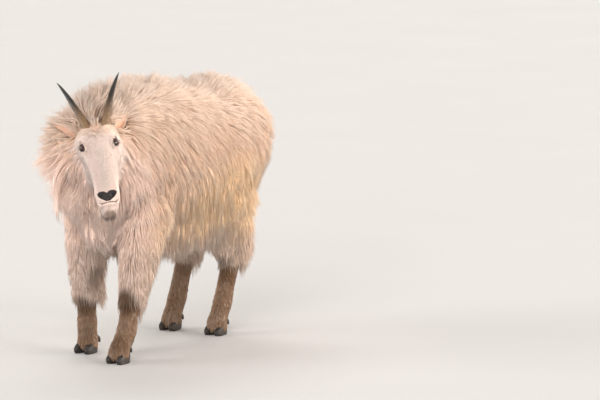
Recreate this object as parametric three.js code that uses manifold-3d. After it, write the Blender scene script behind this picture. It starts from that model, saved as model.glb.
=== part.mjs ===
// An adult mountain goat in its long coat, standing on level ground with its head turned to the left.
// Life size, in millimetres. The animal faces -Y, its left side is +X, up is +Z and the floor is Z = 0.
import * as THREE from 'three';
import { mergeVertices } from 'three/addons/utils/BufferGeometryUtils.js';
import Module from 'manifold-3d';

const wasm = await Module();
wasm.setup();

// Driving dimensions
const GAP = 0.3;
const CORE_SHARE = 0.45;
const LEG_SPREAD = 95;
const FLOOR = 0;

// Trunk, front to rear: y, top and bottom of the skin, half width, coat depth on back, side and belly
const TRUNK_ROWS = [
  [-384, 640, 540, 30, 70, 50, 60],
  [-352, 700, 474, 74, 76, 54, 70],
  [-290, 765, 430, 108, 84, 58, 80],
  [-210, 806, 410, 130, 88, 60, 84],
  [-120, 822, 405, 145, 88, 60, 86],
  [-30, 818, 398, 160, 86, 60, 88],
  [60, 800, 398, 170, 76, 60, 90],
  [150, 793, 405, 175, 78, 60, 92],
  [250, 797, 428, 170, 84, 60, 95],
  [340, 795, 462, 156, 86, 58, 95],
  [410, 768, 508, 130, 80, 56, 90],
  [455, 724, 556, 96, 72, 52, 80],
  [480, 672, 608, 44, 64, 48, 66],
];
const TRUNK_SQUARENESS = 2.25;
const LIMB_SQUARENESS = 2.1;
const TRUNK_MESH = [15, 20];
const NECK_MESH = [6, 16];
const LEG_MESH = [11, 10];

// Neck, head end to base: centre, half width, up, down, coat depth on crest, left side, throat, right side
const NECK_ROWS = [
  [66, -432, 712, 48, 60, 62, 105, 45, 50, 70],
  [46, -396, 704, 66, 98, 90, 112, 55, 70, 110],
  [20, -345, 686, 86, 126, 122, 108, 60, 84, 125],
  [2, -285, 658, 104, 152, 154, 98, 60, 84, 110],
  [0, -205, 640, 118, 174, 178, 88, 60, 84, 80],
];

// Head, in its own frame: x to its left, y to its rear, z up the face, origin midway between the eyes
const HEAD_AT = [101, -467, 722];
const HEAD_TURN = THREE.MathUtils.degToRad(35.5);
const HEAD_ROLL = THREE.MathUtils.degToRad(-9.5);
const HEAD_PITCH = THREE.MathUtils.degToRad(-22);
const FACE_COAT = 7;

// Head rows, muzzle to poll: z, depth of the widest line, half width, front and rear of the section from it
const HEAD_ROWS = [
  [-197, 34, 14, 12, 16],
  [-191, 36, 27, 24, 26],
  [-176, 38, 34, 30, 32],
  [-152, 38, 36.5, 33, 38],
  [-128, 38, 37, 33, 44],
  [-95, 40, 41, 37, 58],
  [-60, 42, 46, 44, 76],
  [-30, 44, 52, 48, 88],
  [0, 46, 56, 50, 92],
  [28, 50, 56, 49, 84],
  [50, 58, 50, 45, 64],
  [66, 66, 38, 34, 44],
  [73, 68, 20, 19, 26],
];
const HEAD_SQUARENESS = 2.9;

// Lower jaw rows, chin to cheek: z, depth, half width, front and rear
const JAW_ROWS = [
  [-209, 42, 9, 8, 9],
  [-203, 42, 21, 16, 16],
  [-188, 47, 29, 21, 24],
  [-155, 58, 32, 24, 32],
  [-105, 78, 36, 24, 40],
  [-55, 98, 42, 24, 44],
  [-15, 106, 44, 24, 40],
];
const JAW_SQUARENESS = 2.3;

// Eye and the rim of its lids
const EYE_RADIUS = 14.5;
const EYE_AT = [46.5, 13, 0];
const EYE_AXIS = [0.8, -0.58, 0.12];
const LID_RADIUS = 13.2;
const LID_TUBE = 3.6;
const LID_STRETCH = [1, 0.86, 1.2];
const LID_OUT = 6;

// Nose pad: an outline narrowing from its upper corners to a short foot
const NOSE_HALF_WIDTH = 33;
const NOSE_TOP = -151;
const NOSE_HEIGHT = 32;
const NOSE_FOOT = 9;
const NOSE_REACH = 40;
const NOSE_LENGTH = 90;
const NOSE_PROUD = 5;
const NOSE_DEPTH = 3;
const NOSTRIL_RADII = [5.2, 12, 9];
const NOSTRIL_TURN = 0.7;
const NOSTRIL_AT = [19, 8, -163];

// Mouth: a thin slit that rises up and back to the corners of the lips
const MOUTH_CORNER = [54, -147];
const MOUTH_SLOPE = THREE.MathUtils.degToRad(49.6);
const MOUTH_LENGTH = 70;
const MOUTH_WIDTH = 120;
const MOUTH_SLIT = 1.8;
const LIP_DEPTH = 5;

// Horn: centre line in the head frame and radii from base to tip
const HORN_LINE = [
  [24, 28, 36],
  [29, 26, 64],
  [47, 36, 120],
  [70, 56, 181],
  [90, 82, 228],
  [101, 100, 251],
];
const HORN_RADII = [15.2, 14.6, 11.4, 8.2, 4.6, 1.2];

// Ears: the right one is held out and faces down, the left one is laid back. Half width and depth of the cup
const EAR_ROOT = [50, 66, 48];
const EAR_TIP_RIGHT = [142, 78, 116];
const EAR_OPENING_RIGHT = [0.1, -0.38, -0.92];
const EAR_TIP_LEFT = [108, 120, 120];
const EAR_OPENING_LEFT = [0.45, -0.85, -0.25];
const EAR_HALF_WIDTHS = [12, 18, 20, 17, 10, 2.5];
const EAR_DEPTHS = [14, 15, 13, 10, 7, 2.5];
const EAR_WALL = 3.4;
const EAR_CUP = 7;

// Fore legs, floor to elbow: forward shift from the hoof, height, half width, front, rear
const FORE_ROWS = [
  [4, 12, 30, 30, 24],
  [2, 40, 29, 30, 26],
  [-10, 70, 25, 27, 26],
  [-22, 96, 27, 29, 30],
  [-28, 135, 24, 26, 27],
  [-36, 176, 28, 31, 29],
  [-41, 206, 30, 33, 30],
  [-48, 270, 36, 40, 42],
  [-58, 350, 42, 46, 54],
  [-74, 440, 42, 48, 60],
  [-86, 500, 34, 38, 50],
];

// Hind legs, floor to thigh: rearward shift from the hoof, height, half width, front, rear
const HIND_ROWS = [
  [-4, 12, 30, 30, 24],
  [-2, 40, 29, 30, 26],
  [14, 70, 25, 27, 26],
  [28, 96, 27, 29, 30],
  [48, 150, 24, 26, 27],
  [74, 215, 25, 28, 30],
  [92, 268, 29, 34, 38],
  [82, 318, 36, 44, 46],
  [44, 390, 52, 66, 66],
  [14, 470, 60, 80, 90],
  [24, 540, 56, 80, 90],
];

// Each foot: name, side, hoof position, rows, lean of the shaft and the height where the leg is parted
const FEET = [
  { name: 'foreleg_left', x: LEG_SPREAD, y: -350, rows: FORE_ROWS, lean: 1.7, split: 190, fore: true },
  { name: 'foreleg_right', x: -LEG_SPREAD, y: -262, rows: FORE_ROWS, lean: -0.15, split: 190, fore: true },
  { name: 'hindleg_left', x: LEG_SPREAD - 5, y: 228, rows: HIND_ROWS, lean: 1, split: 272, fore: false },
  { name: 'hindleg_right', x: 5 - LEG_SPREAD, y: 222, rows: HIND_ROWS, lean: 1, split: 272, fore: false },
];
const LEG_COAT = 14;

// Locks of the coat
const LOCK_THICK = 15;
const LOCK_SINK = 12;
const LOCK_SHARES = [0.8, 1, 0.68, 0];
const LOCK_EDGE = 0.6;
const LIFT_STEPS = 3;
const LIFT = 9;
const SLIDE_STEPS = 7;
const SLIDE = 0.03;
const SEED = 7;

// Locks that lie along the trunk: angle up the section, stretch covered, number, lie, length and width
const CREST_ANGLES = [78, 102];
const CREST_ROW = { count: 7, lie: [0, 1, 0.25], length: 92, width: 62 };
const FLANK_ROWS = [
  { up: 56, from: 0.32, to: 0.92, count: 6, lie: [0.45, 0.9, -0.35], length: 125, width: 84 },
  { up: 30, from: 0.26, to: 0.92, count: 7, lie: [0.1, 0.5, -0.85], length: 135, width: 88 },
  { up: 3, from: 0.36, to: 0.92, count: 6, lie: [0, 0.36, -1], length: 135, width: 88 },
  { up: 64, from: 0.94, to: 0.98, count: 1, lie: [0.3, 1, -0.5], length: 100, width: 80 },
  { up: 22, from: 0.94, to: 0.98, count: 1, lie: [0, 0.3, -1], length: 110, width: 80 },
  { up: -14, from: 0.93, to: 0.97, count: 1, lie: [0, 0.1, -1], length: 110, width: 80 },
  { up: -48, from: 0.9, to: 0.94, count: 1, lie: [0, 0.1, -1], length: 100, width: 76 },
  { up: -24, from: 0.36, to: 0.66, count: 4, lie: [0, 0.3, -1], length: 130, width: 84 },
];

// Locks that hang: place along the form, angle up the section, length and reach outward
const BELLY_PLACES = [0.3, 0.39, 0.48, 0.57, 0.66, 0.75];
const BELLY_LOCK = [-52, 105, 14];
const BRISKET_ANGLES = [-30, -62, -90, -118, 210];
const BRISKET_LOCK = [0.035, 150, 22];
const SHOULDER = [
  [0.1, 8, 150, 40],
  [0.17, 2, 160, 44],
  [0.25, 0, 160, 40],
  [0.32, -4, 150, 30],
  [0.14, -18, 150, 44],
  [0.23, -18, 150, 42],
  [0.68, -16, 140, 34],
  [0.76, -18, 140, 34],
  [0.84, -30, 120, 10],
];
const SHOULDER_WIDTH = 76;
const FRINGE_WIDTH = 66;

// Neck: mane and ruff that lie, throat locks and long strands off its right side that hang
const MANE_ANGLES = [76, 104];
const MANE_ROW = { to: 0.92, count: 5, lie: [0, 0.6, 0.8], length: 105, width: 74 };
const RUFF_ROWS = [
  { up: 46, from: 0.05, to: 0.95, count: 5, lie: [0.25, 0.6, -0.55], length: 120, width: 78 },
  { up: 14, from: 0.08, to: 0.64, count: 3, lie: [0.1, 0.45, -1], length: 125, width: 88 },
  { up: -22, from: 0.1, to: 0.7, count: 3, lie: [0, 0.3, -1], length: 120, width: 84 },
];
const THROAT_PLACES = [0.2, 0.42, 0.64];
const THROAT_ANGLES = [-68, -112];
const THROAT_LOCK = [100, 12];
const THROAT_WIDTH = 60;
const STRANDS = [
  [0.12, 196, 200, 52],
  [0.26, 204, 235, 58],
  [0.4, 204, 245, 48],
  [0.34, 190, 210, 58],
  [0.54, 200, 230, 38],
];
const STRAND_WIDTH = 52;

// Beard, chaps of the fore legs, pantaloons of the hind legs and tail tuft
const BEARD = [
  [0.2, -90, 44, 6],
  [0.32, -62, 50, 8],
  [0.32, -118, 50, 8],
  [0.46, -90, 60, 10],
  [0.5, -50, 52, 10],
  [0.5, -130, 52, 10],
];
const BEARD_WIDTH = 36;
const CHAPS = [
  [0.82, 0, 120, 16],
  [0.82, 180, 120, 16],
  [0.82, 90, 110, 10],
  [0.82, -60, 140, 40],
  [0.82, -120, 140, 40],
  [0.73, 35, 95, 12],
  [0.73, 145, 95, 12],
  [0.73, -20, 100, 18],
  [0.73, 200, 100, 18],
  [0.72, -90, 105, 42],
];
const PANTALOONS = [
  [0.8, 0, 120, 22],
  [0.8, 180, 120, 22],
  [0.79, 60, 110, 14],
  [0.79, 120, 110, 14],
  [0.8, -60, 140, 40],
  [0.8, -120, 140, 40],
  [0.72, -90, 105, 34],
  [0.71, -30, 85, 16],
  [0.71, 210, 85, 16],
];
const LEG_LOCK_WIDTH = 56;
const TAIL_TUFT = [
  [0.4, 90, 110, 14],
  [0.4, 20, 100, 14],
  [0.4, 160, 100, 14],
  [0.75, 60, 90, 8],
  [0.75, 120, 90, 8],
];
const TAIL_LOCK_WIDTH = 40;

// Hooves: two toes, parted and splayed. Toe rows, heel to tip: y, centre height, half width, up and down
const TOE_WIDTH = 29;
const CORONET = 30;
const TOE_PARTING = 5;
const TOE_SPLAY = THREE.MathUtils.degToRad(7);
const TOE_SQUARENESS = 2.6;
const TOE_FORWARD = 6;
const TOE_ROWS = [
  [26, 14, 9, 20, 30],
  [18, 16, TOE_WIDTH / 2 - 1, 24, 30],
  [0, 16, TOE_WIDTH / 2, 24, 30],
  [-18, 14, TOE_WIDTH / 2 - 1, 19, 30],
  [-32, 11, 9.5, 11, 30],
  [-39, 8, 4, 5, 30],
];

// Dewclaw rows, root to tip: sideways and rearward from its place, height, radius
const DEWCLAW_ASIDE = 14;
const DEWCLAW_BEHIND = 28;
const DEWCLAW_ROWS = [
  [0, -12, 50, 8],
  [0, 2, 46, 9],
  [2, 10, 38, 7],
  [3, 14, 29, 2.5],
];

// Tail: centre line and radii
const TAIL_LINE = [
  [0, 462, 716],
  [0, 502, 692],
  [0, 524, 640],
  [0, 528, 588],
];
const TAIL_RADII = [26, 26, 21, 8];
const TAIL_REFERENCE = [0, 1, 0.3];

// Cuts between torso, neck and head
const NECK_CUT = { point: [0, -275, 650], normal: [0.04, -0.78, 0.62] };
const HEAD_CUT_POINT = [0, 105, 5];
const HEAD_CUT_NORMAL = [0, -0.933, -0.36];
const HALF_SPACE = 3000;

// Colours of the living animal
const COLOURS = {
  coat: 0xead9c2,
  horn: 0x2b2622,
  hoof: 0x1d1a19,
  eye: 0x3a1d12,
  nose: 0x2a2224,
};

// A closed form lofted through rows of centre and half sizes, with superellipse sections
class Form {
  constructor(rows, reference, squareness = 2) {
    const vectors = (first) => rows.map((row) => new THREE.Vector3(...row.slice(first, first + 3)));
    this.line = new THREE.CatmullRomCurve3(vectors(0), false, 'catmullrom');
    this.size = new THREE.CatmullRomCurve3(vectors(3), false, 'catmullrom');
    this.reference = new THREE.Vector3(...reference);
    this.power = 2 / squareness;
  }

  frame(t) {
    const ahead = this.line.getPoint(Math.min(t + 0.002, 1));
    const along = ahead.sub(this.line.getPoint(Math.max(t - 0.002, 0))).normalize();
    const fore = this.reference.clone().addScaledVector(along, -this.reference.dot(along)).normalize();
    return { centre: this.line.getPoint(t), along, fore, side: along.clone().cross(fore) };
  }

  point(t, angle, grow = 0) {
    const { centre, fore, side } = this.frame(t);
    const size = this.size.getPoint(t);
    const across = Math.cos(angle);
    const up = Math.sin(angle);
    const reach = (value, half) => Math.sign(value) * Math.abs(value) ** this.power * (half + grow);
    return centre
      .addScaledVector(side, reach(across, size.x))
      .addScaledVector(fore, reach(up, up > 0 ? size.y : size.z));
  }

  normal(t, angle, grow = 0) {
    const step = 0.004;
    const low = Math.max(t - step, 0);
    const high = Math.min(t + step, 1);
    const along = this.point(high, angle, grow).sub(this.point(low, angle, grow));
    const round = this.point(t, angle + 0.02, grow).sub(this.point(t, angle - 0.02, grow));
    return along.cross(round).normalize();
  }

  geometry(rings, sides, grow = () => 0) {
    const positions = [];
    const indices = [];
    const add = (vector) => positions.push(vector.x, vector.y, vector.z);
    for (let ring = 0; ring <= rings; ring++) {
      const t = ring / rings;
      for (let side = 0; side < sides; side++) {
        const angle = (side / sides) * 2 * Math.PI;
        add(this.point(t, angle, grow(t, angle)));
      }
    }
    const cell = (ring, side) => ring * sides + (side % sides);
    for (let ring = 0; ring < rings; ring++) {
      for (let side = 0; side < sides; side++) {
        const a = cell(ring, side);
        const b = cell(ring, side + 1);
        const c = cell(ring + 1, side + 1);
        const d = cell(ring + 1, side);
        indices.push(a, d, c, a, c, b);
      }
    }
    const start = positions.length / 3;
    const first = this.frame(0);
    const last = this.frame(1);
    add(first.centre.addScaledVector(first.along, -grow(0, 0)));
    add(last.centre.addScaledVector(last.along, grow(1, 0)));
    for (let side = 0; side < sides; side++) {
      indices.push(start, cell(0, side), cell(0, side + 1));
      indices.push(start + 1, cell(rings, side + 1), cell(rings, side));
    }
    return shell(positions, indices);
  }
}

function shell(positions, indices) {
  const geometry = new THREE.BufferGeometry();
  geometry.setAttribute('position', new THREE.Float32BufferAttribute(positions, 3));
  geometry.setIndex(indices);
  return geometry;
}

// Turns a closed geometry into a solid that can be joined and cut
function solid(geometry) {
  const bare = geometry.clone();
  bare.deleteAttribute('normal');
  bare.deleteAttribute('uv');
  const merged = mergeVertices(bare, 1e-4);
  return new wasm.Manifold(
    new wasm.Mesh({
      numProp: 3,
      vertProperties: new Float32Array(merged.attributes.position.array),
      triVerts: new Uint32Array(merged.index.array),
    }),
  );
}

function largest(body) {
  const pieces = body.decompose();
  return pieces.reduce((best, piece) => (piece.volume() > best.volume() ? piece : best));
}

// The block that fills the side of a plane which its normal points to
function beyond(point, normal, offset) {
  const block = new THREE.BoxGeometry(HALF_SPACE, HALF_SPACE, HALF_SPACE);
  const away = new THREE.Vector3(...normal).normalize();
  const turn = new THREE.Quaternion().setFromUnitVectors(new THREE.Vector3(0, 0, 1), away);
  const centre = new THREE.Vector3(...point).addScaledVector(away, HALF_SPACE / 2 + offset);
  block.applyMatrix4(new THREE.Matrix4().compose(centre, turn, new THREE.Vector3(1, 1, 1)));
  return solid(block);
}

// A seeded draw between 0 and 1
function draws(seed) {
  let state = seed;
  return () => {
    state = (state + 0x6d2b79f5) | 0;
    let value = Math.imul(state ^ (state >>> 15), 1 | state);
    value = (value + Math.imul(value ^ (value >>> 7), 61 | value)) ^ value;
    return ((value ^ (value >>> 14)) >>> 0) / 4294967296;
  };
}

// Trunk and neck forms, their coat depth and the dense core of the coat
const trunk = new Form(
  TRUNK_ROWS.map(([y, top, bottom, half]) => {
    const centre = bottom + 0.5 * (top - bottom);
    return [0, y, centre, half, top - centre, centre - bottom];
  }),
  [0, 0, 1],
  TRUNK_SQUARENESS,
);
const neck = new Form(NECK_ROWS, [0, 0, 1], LIMB_SQUARENESS);

function between(rows, column, t) {
  const place = Math.min(t, 0.9999) * (rows.length - 1);
  const row = Math.floor(place);
  return THREE.MathUtils.lerp(rows[row][column], rows[row + 1][column], place - row);
}

function trunkCoat(t, angle) {
  const up = Math.sin(angle);
  const side = between(TRUNK_ROWS, 5, t);
  const other = between(TRUNK_ROWS, up > 0 ? 4 : 6, t);
  return THREE.MathUtils.lerp(side, other, up ** 2);
}

function neckCoat(t, angle) {
  const up = Math.sin(angle);
  const side = between(NECK_ROWS, Math.cos(angle) > 0 ? 7 : 9, t);
  const other = between(NECK_ROWS, up > 0 ? 6 : 8, t);
  return THREE.MathUtils.lerp(side, other, up ** 2);
}

const core = (coat) => (t, angle) => CORE_SHARE * coat(t, angle);
const grown = (coat, by) => (t, angle) => CORE_SHARE * coat(t, angle) + by;

// Head frame
const headMatrix = new THREE.Matrix4()
  .makeTranslation(...HEAD_AT)
  .multiply(new THREE.Matrix4().makeRotationZ(HEAD_TURN))
  .multiply(new THREE.Matrix4().makeRotationY(HEAD_ROLL))
  .multiply(new THREE.Matrix4().makeRotationX(HEAD_PITCH));
const onHead = (geometry) => solid(geometry.applyMatrix4(headMatrix));
const headRows = (rows) => rows.map(([z, y, half, front, rear]) => [0, y, z, half, front, rear]);
const headForm = new Form(headRows(HEAD_ROWS), [0, -1, 0], HEAD_SQUARENESS);
const jawForm = new Form(headRows(JAW_ROWS), [0, -1, 0], JAW_SQUARENESS);
function headMass(grow, rings = 16, sides = 24) {
  const skull = onHead(headForm.geometry(rings, sides, () => grow));
  return skull.add(onHead(jawForm.geometry(rings / 2, 16, () => grow)));
}
const headInside = (depth) => headMass(-depth, 10, 14);

// Eyes, with a lid rim round each
function eyeball(side, grow) {
  const ball = new THREE.SphereGeometry(EYE_RADIUS + grow, 12, 8);
  ball.translate(side * EYE_AT[0], EYE_AT[1], EYE_AT[2]);
  return onHead(ball);
}

function lids(side) {
  const rim = new THREE.TorusGeometry(LID_RADIUS, LID_TUBE, 5, 14);
  rim.scale(...LID_STRETCH);
  const axis = new THREE.Vector3(side * EYE_AXIS[0], EYE_AXIS[1], EYE_AXIS[2]).normalize();
  rim.applyQuaternion(new THREE.Quaternion().setFromUnitVectors(new THREE.Vector3(0, 0, 1), axis));
  rim.translate(side * EYE_AT[0], EYE_AT[1], EYE_AT[2]);
  rim.translate(axis.x * LID_OUT, axis.y * LID_OUT, axis.z * LID_OUT);
  return onHead(rim);
}

// A round, tapered form along a line of points
function tapered(line, radii, side, rings, sides, grow, reference = [0, 1, 0]) {
  const rows = line.map(([x, y, z], row) => [side * x, y, z, radii[row], radii[row], radii[row]]);
  return new Form(rows, reference).geometry(rings, sides, () => grow);
}

const horn = (side, grow) => onHead(tapered(HORN_LINE, HORN_RADII, side, 10, 10, grow));

// An ear: a leaf-shaped cup from root to tip
function ear(side, grow) {
  const aside = new THREE.Vector3(side, 1, 1);
  const root = new THREE.Vector3(...EAR_ROOT).multiply(aside);
  const tip = new THREE.Vector3(...(side > 0 ? EAR_TIP_LEFT : EAR_TIP_RIGHT)).multiply(aside);
  const opening = new THREE.Vector3(...(side > 0 ? EAR_OPENING_LEFT : EAR_OPENING_RIGHT)).multiply(aside);
  const leaf = (wall, rise) =>
    EAR_HALF_WIDTHS.map((half, row) => {
      const at = root.clone().lerp(tip, row / (EAR_HALF_WIDTHS.length - 1)).addScaledVector(opening, rise);
      const depth = Math.max(EAR_DEPTHS[row] - wall, 0.6);
      return [at.x, at.y, at.z, Math.max(half - wall, 0.8), depth, depth];
    });
  const reference = opening.toArray();
  const outside = onHead(new Form(leaf(0, 0), reference).geometry(7, 10, () => grow));
  if (grow > 0) {
    return outside;
  }
  const cup = leaf(EAR_WALL, EAR_WALL + EAR_CUP).slice(1, -1);
  const inside = onHead(new Form(cup, reference).geometry(5, 8));
  return largest(outside.subtract(inside));
}

// Nose pad: the part of the muzzle inside a V-shaped outline
function noseBlock(grow) {
  const half = NOSE_HALF_WIDTH + grow;
  const top = NOSE_TOP + grow;
  const middle = top - 0.6 * NOSE_HEIGHT;
  const foot = top - NOSE_HEIGHT - 2 * grow;
  const shape = new THREE.Shape();
  shape.moveTo(-half, top - 4);
  shape.quadraticCurveTo(-half / 2, top + 4, 0, top - 6);
  shape.quadraticCurveTo(half / 2, top + 4, half, top - 4);
  shape.quadraticCurveTo(half * 0.8, middle, NOSE_FOOT, foot);
  shape.lineTo(-NOSE_FOOT, foot);
  shape.quadraticCurveTo(-half * 0.8, middle, -half, top - 4);
  const settings = { depth: NOSE_LENGTH, bevelEnabled: false, curveSegments: 3 };
  const prism = new THREE.ExtrudeGeometry(shape, settings);
  prism.rotateX(Math.PI / 2);
  prism.translate(0, NOSE_REACH, 0);
  return onHead(prism);
}

function nostril(side) {
  const hole = new THREE.SphereGeometry(1, 8, 6);
  hole.scale(...NOSTRIL_RADII);
  hole.rotateY(side * NOSTRIL_TURN);
  hole.translate(side * NOSTRIL_AT[0], NOSTRIL_AT[1], NOSTRIL_AT[2]);
  return onHead(hole);
}

// The slit of the mouth: a thin slab that only enters the lips and ends at their corners
function mouth() {
  const slab = new THREE.BoxGeometry(MOUTH_WIDTH, MOUTH_LENGTH, MOUTH_SLIT);
  slab.translate(0, -MOUTH_LENGTH / 2, 0);
  slab.rotateX(MOUTH_SLOPE);
  slab.translate(0, ...MOUTH_CORNER);
  return onHead(slab).subtract(headInside(LIP_DEPTH));
}

// A flat tapered lock through a row of stations, each with its point, outward direction and share of size
function lock(stations, width, thick, grow) {
  const positions = [];
  const indices = [];
  const count = stations.length;
  stations.forEach(({ at, out, share }, place) => {
    const previous = stations[Math.max(place - 1, 0)].at;
    const next = stations[Math.min(place + 1, count - 1)].at;
    const along = next.clone().sub(previous).normalize();
    const across = along.clone().cross(out).normalize();
    const rise = across.clone().cross(along).normalize();
    if (place === count - 1) {
      const tip = at.clone().addScaledVector(along, grow);
      positions.push(tip.x, tip.y, tip.z);
      return;
    }
    const half = (width / 2) * share + grow;
    const deep = (thick / 2) * Math.min(1, share + 0.2) + grow;
    const corners = [
      [half, -deep * LOCK_EDGE],
      [0, deep],
      [-half, -deep * LOCK_EDGE],
    ];
    corners.forEach(([aside, up]) => {
      const corner = at.clone().addScaledVector(across, aside).addScaledVector(rise, up);
      positions.push(corner.x, corner.y, corner.z);
    });
  });
  const tip = (count - 1) * 3;
  indices.push(0, 1, 2);
  for (let place = 0; place < count - 2; place++) {
    for (let side = 0; side < 3; side++) {
      const a = place * 3 + side;
      const b = place * 3 + ((side + 1) % 3);
      indices.push(a, a + 3, b + 3, a, b + 3, b);
    }
  }
  for (let side = 0; side < 3; side++) {
    indices.push(tip - 3 + side, tip, tip - 3 + ((side + 1) % 3));
  }
  return solid(shell(positions, indices));
}

// Stations of a lock that lies along a form: it follows the surface and rises to its tip height
function lying(form, coat, t, angle, lie, length, tip, sink) {
  const base = core(coat);
  const stations = [];
  const steps = LOCK_SHARES.length - 1;
  let place = t;
  let turn = angle;
  LOCK_SHARES.forEach((share, index) => {
    const run = index / steps;
    const point = form.point(place, turn, base(place, turn));
    const out = form.normal(place, turn, base(place, turn));
    const height = -sink + (tip + sink) * run ** 0.75;
    stations.push({ at: point.clone().addScaledVector(out, height), out, share });
    const flat = lie.clone().addScaledVector(out, -lie.dot(out)).normalize();
    const wide = form.point(Math.min(place + 0.01, 1), turn, 0);
    wide.sub(form.point(Math.max(place - 0.01, 0), turn, 0));
    const round = form.point(place, turn + 0.02, 0).sub(form.point(place, turn - 0.02, 0));
    place = THREE.MathUtils.clamp(place + (0.02 * flat.dot(wide) * length) / steps / wide.lengthSq(), 0, 1);
    turn += (0.04 * flat.dot(round) * length) / steps / round.lengthSq();
  });
  return stations;
}

// Stations of a lock that leaves its root outward and falls under its own weight
function hanging(root, out, lie, length, reach, sink) {
  const fall = lie.clone().normalize();
  return LOCK_SHARES.map((share, index) => {
    const run = index / (LOCK_SHARES.length - 1);
    const away = -sink * (1 - run) + reach * (1 - (1 - run) ** 2);
    const at = root.clone().addScaledVector(out, away).addScaledVector(fall, length * run ** 1.25);
    return { at, out, share };
  });
}

// Adds locks to a body. A lock that would cross a neighbour is lifted, then slid along the form, until it
// clears it. One that has no clear place is left out
function dress(body, locks, neighbours) {
  let dressed = body;
  locks.forEach(({ stationsAt, width, thick }) => {
    for (let step = 0; step < LIFT_STEPS * SLIDE_STEPS; step++) {
      const stations = stationsAt((step % LIFT_STEPS) * LIFT, Math.floor(step / LIFT_STEPS) * SLIDE);
      const room = lock(stations, width, thick, 2 * GAP);
      if (neighbours.every((neighbour) => room.intersect(neighbour).isEmpty())) {
        dressed = dressed.add(lock(stations, width, thick, 0));
        return;
      }
    }
  });
  return largest(dressed);
}

// Rows of locks that lie along a form. Each row gives its angle, the stretch it covers, how many locks,
// their lie, length, width and the height of their tips above the core
function lyingRows(form, coat, rows, random, away) {
  return rows.flatMap(({ angle, from, to, count, lie, length, width, tip = 1 }) =>
    Array.from({ length: count }, (_, index) => {
      const t = from + ((index + 0.5 + 0.3 * (random() - 0.5)) / count) * (to - from);
      const turn = THREE.MathUtils.degToRad(angle + 6 * (random() - 0.5));
      const long = length * (0.88 + 0.24 * random());
      const free = (1 - CORE_SHARE) * coat(t, turn) * tip * (0.85 + 0.3 * random());
      const way = new THREE.Vector3(...lie).normalize();
      return {
        width,
        thick: LOCK_THICK,
        stationsAt: (lift, slide) => {
          const place = THREE.MathUtils.clamp(t + away * slide, 0, 1);
          return lying(form, coat, place, turn, way, long, free + lift, LOCK_SINK);
        },
      };
    }),
  );
}

// Locks that hang free from a form, each from its place and angle
function hangingLocks(form, coat, places, lie, width, random, away = 0) {
  return places.map(([t, angle, length, reach]) => {
    const turn = THREE.MathUtils.degToRad(angle);
    const way = new THREE.Vector3(...lie).normalize();
    const long = length * (0.92 + 0.16 * random());
    return {
      width,
      thick: LOCK_THICK,
      stationsAt: (lift, slide) => {
        const place = THREE.MathUtils.clamp(t + away * slide, 0, 1);
        const root = form.point(place, turn, CORE_SHARE * coat(place, turn));
        const out = form.normal(place, turn);
        return hanging(root, out, way, long, reach + lift, LOCK_SINK);
      },
    };
  });
}

// Cores of torso, neck and head, parted by thin cuts
const trunkMass = solid(trunk.geometry(...TRUNK_MESH, core(trunkCoat)));
const neckMass = solid(neck.geometry(...NECK_MESH, core(neckCoat)));
const headCutPoint = new THREE.Vector3(...HEAD_CUT_POINT).applyMatrix4(headMatrix).toArray();
const headCutNormal = new THREE.Vector3(...HEAD_CUT_NORMAL).transformDirection(headMatrix).toArray();
const reversed = (normal) => normal.map((value) => -value);
const headSide = beyond(headCutPoint, headCutNormal, GAP / 2);
const neckBehindHead = beyond(headCutPoint, reversed(headCutNormal), GAP / 2);
const neckSide = beyond(NECK_CUT.point, NECK_CUT.normal, GAP / 2);
const torsoSide = beyond(NECK_CUT.point, reversed(NECK_CUT.normal), GAP / 2);

const SIDES = { left: 1, right: -1 };
const eyes = {};
const horns = {};
const ears = {};
let headCore = headMass(FACE_COAT * CORE_SHARE);
Object.values(SIDES).forEach((side) => {
  headCore = headCore.add(lids(side));
});
headCore = headCore.intersect(headSide);
headCore = headCore.subtract(mouth());
const noseGap = noseBlock(GAP).subtract(headInside(NOSE_DEPTH + GAP));
let nosePad = headMass(NOSE_PROUD).intersect(noseBlock(0)).subtract(headInside(NOSE_DEPTH));
headCore = headCore.subtract(noseGap);
Object.entries(SIDES).forEach(([name, side]) => {
  nosePad = nosePad.subtract(nostril(side));
  headCore = headCore.subtract(nostril(side));
  headCore = headCore.subtract(horn(side, GAP)).subtract(ear(side, GAP)).subtract(eyeball(side, GAP));
  eyes[name] = eyeball(side, 0);
  horns[name] = horn(side, 0);
  ears[name] = ear(side, 0);
});
nosePad = largest(nosePad);
headCore = largest(headCore);

const whole = trunkMass.add(neckMass);
const torsoCore = largest(whole.intersect(torsoSide));
let neckCore = whole.intersect(neckSide).intersect(neckBehindHead);
Object.values(SIDES).forEach((side) => {
  neckCore = neckCore.subtract(ear(side, GAP)).subtract(horn(side, GAP));
});
neckCore = largest(neckCore);

// Legs, hooves and dewclaws
function legForm(foot) {
  return new Form(
    foot.rows.map(([shift, height, half, front, rear]) => {
      const along = foot.fore ? -shift * foot.lean : shift;
      return [foot.x, foot.y + along, height, half, front, rear];
    }),
    [0, -1, 0],
    LIMB_SQUARENESS,
  );
}

function toe(foot, inner) {
  const side = inner ? -1 : 1;
  const rows = TOE_ROWS.map(([y, z, half, up, down]) => [0, -y, z, half, up, down]).reverse();
  const geometry = new Form(rows, [0, 0, 1], TOE_SQUARENESS).geometry(5, 8);
  geometry.rotateZ(Math.PI);
  geometry.translate(side * (TOE_WIDTH + TOE_PARTING) * 0.5, 0, 0);
  geometry.rotateZ(side * TOE_SPLAY);
  geometry.translate(foot.x, foot.y - TOE_FORWARD, 0);
  const onFloor = solid(geometry).intersect(beyond([0, 0, FLOOR], [0, 0, 1], 0));
  return onFloor.intersect(beyond([0, 0, CORONET], [0, 0, -1], GAP / 2));
}

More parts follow.
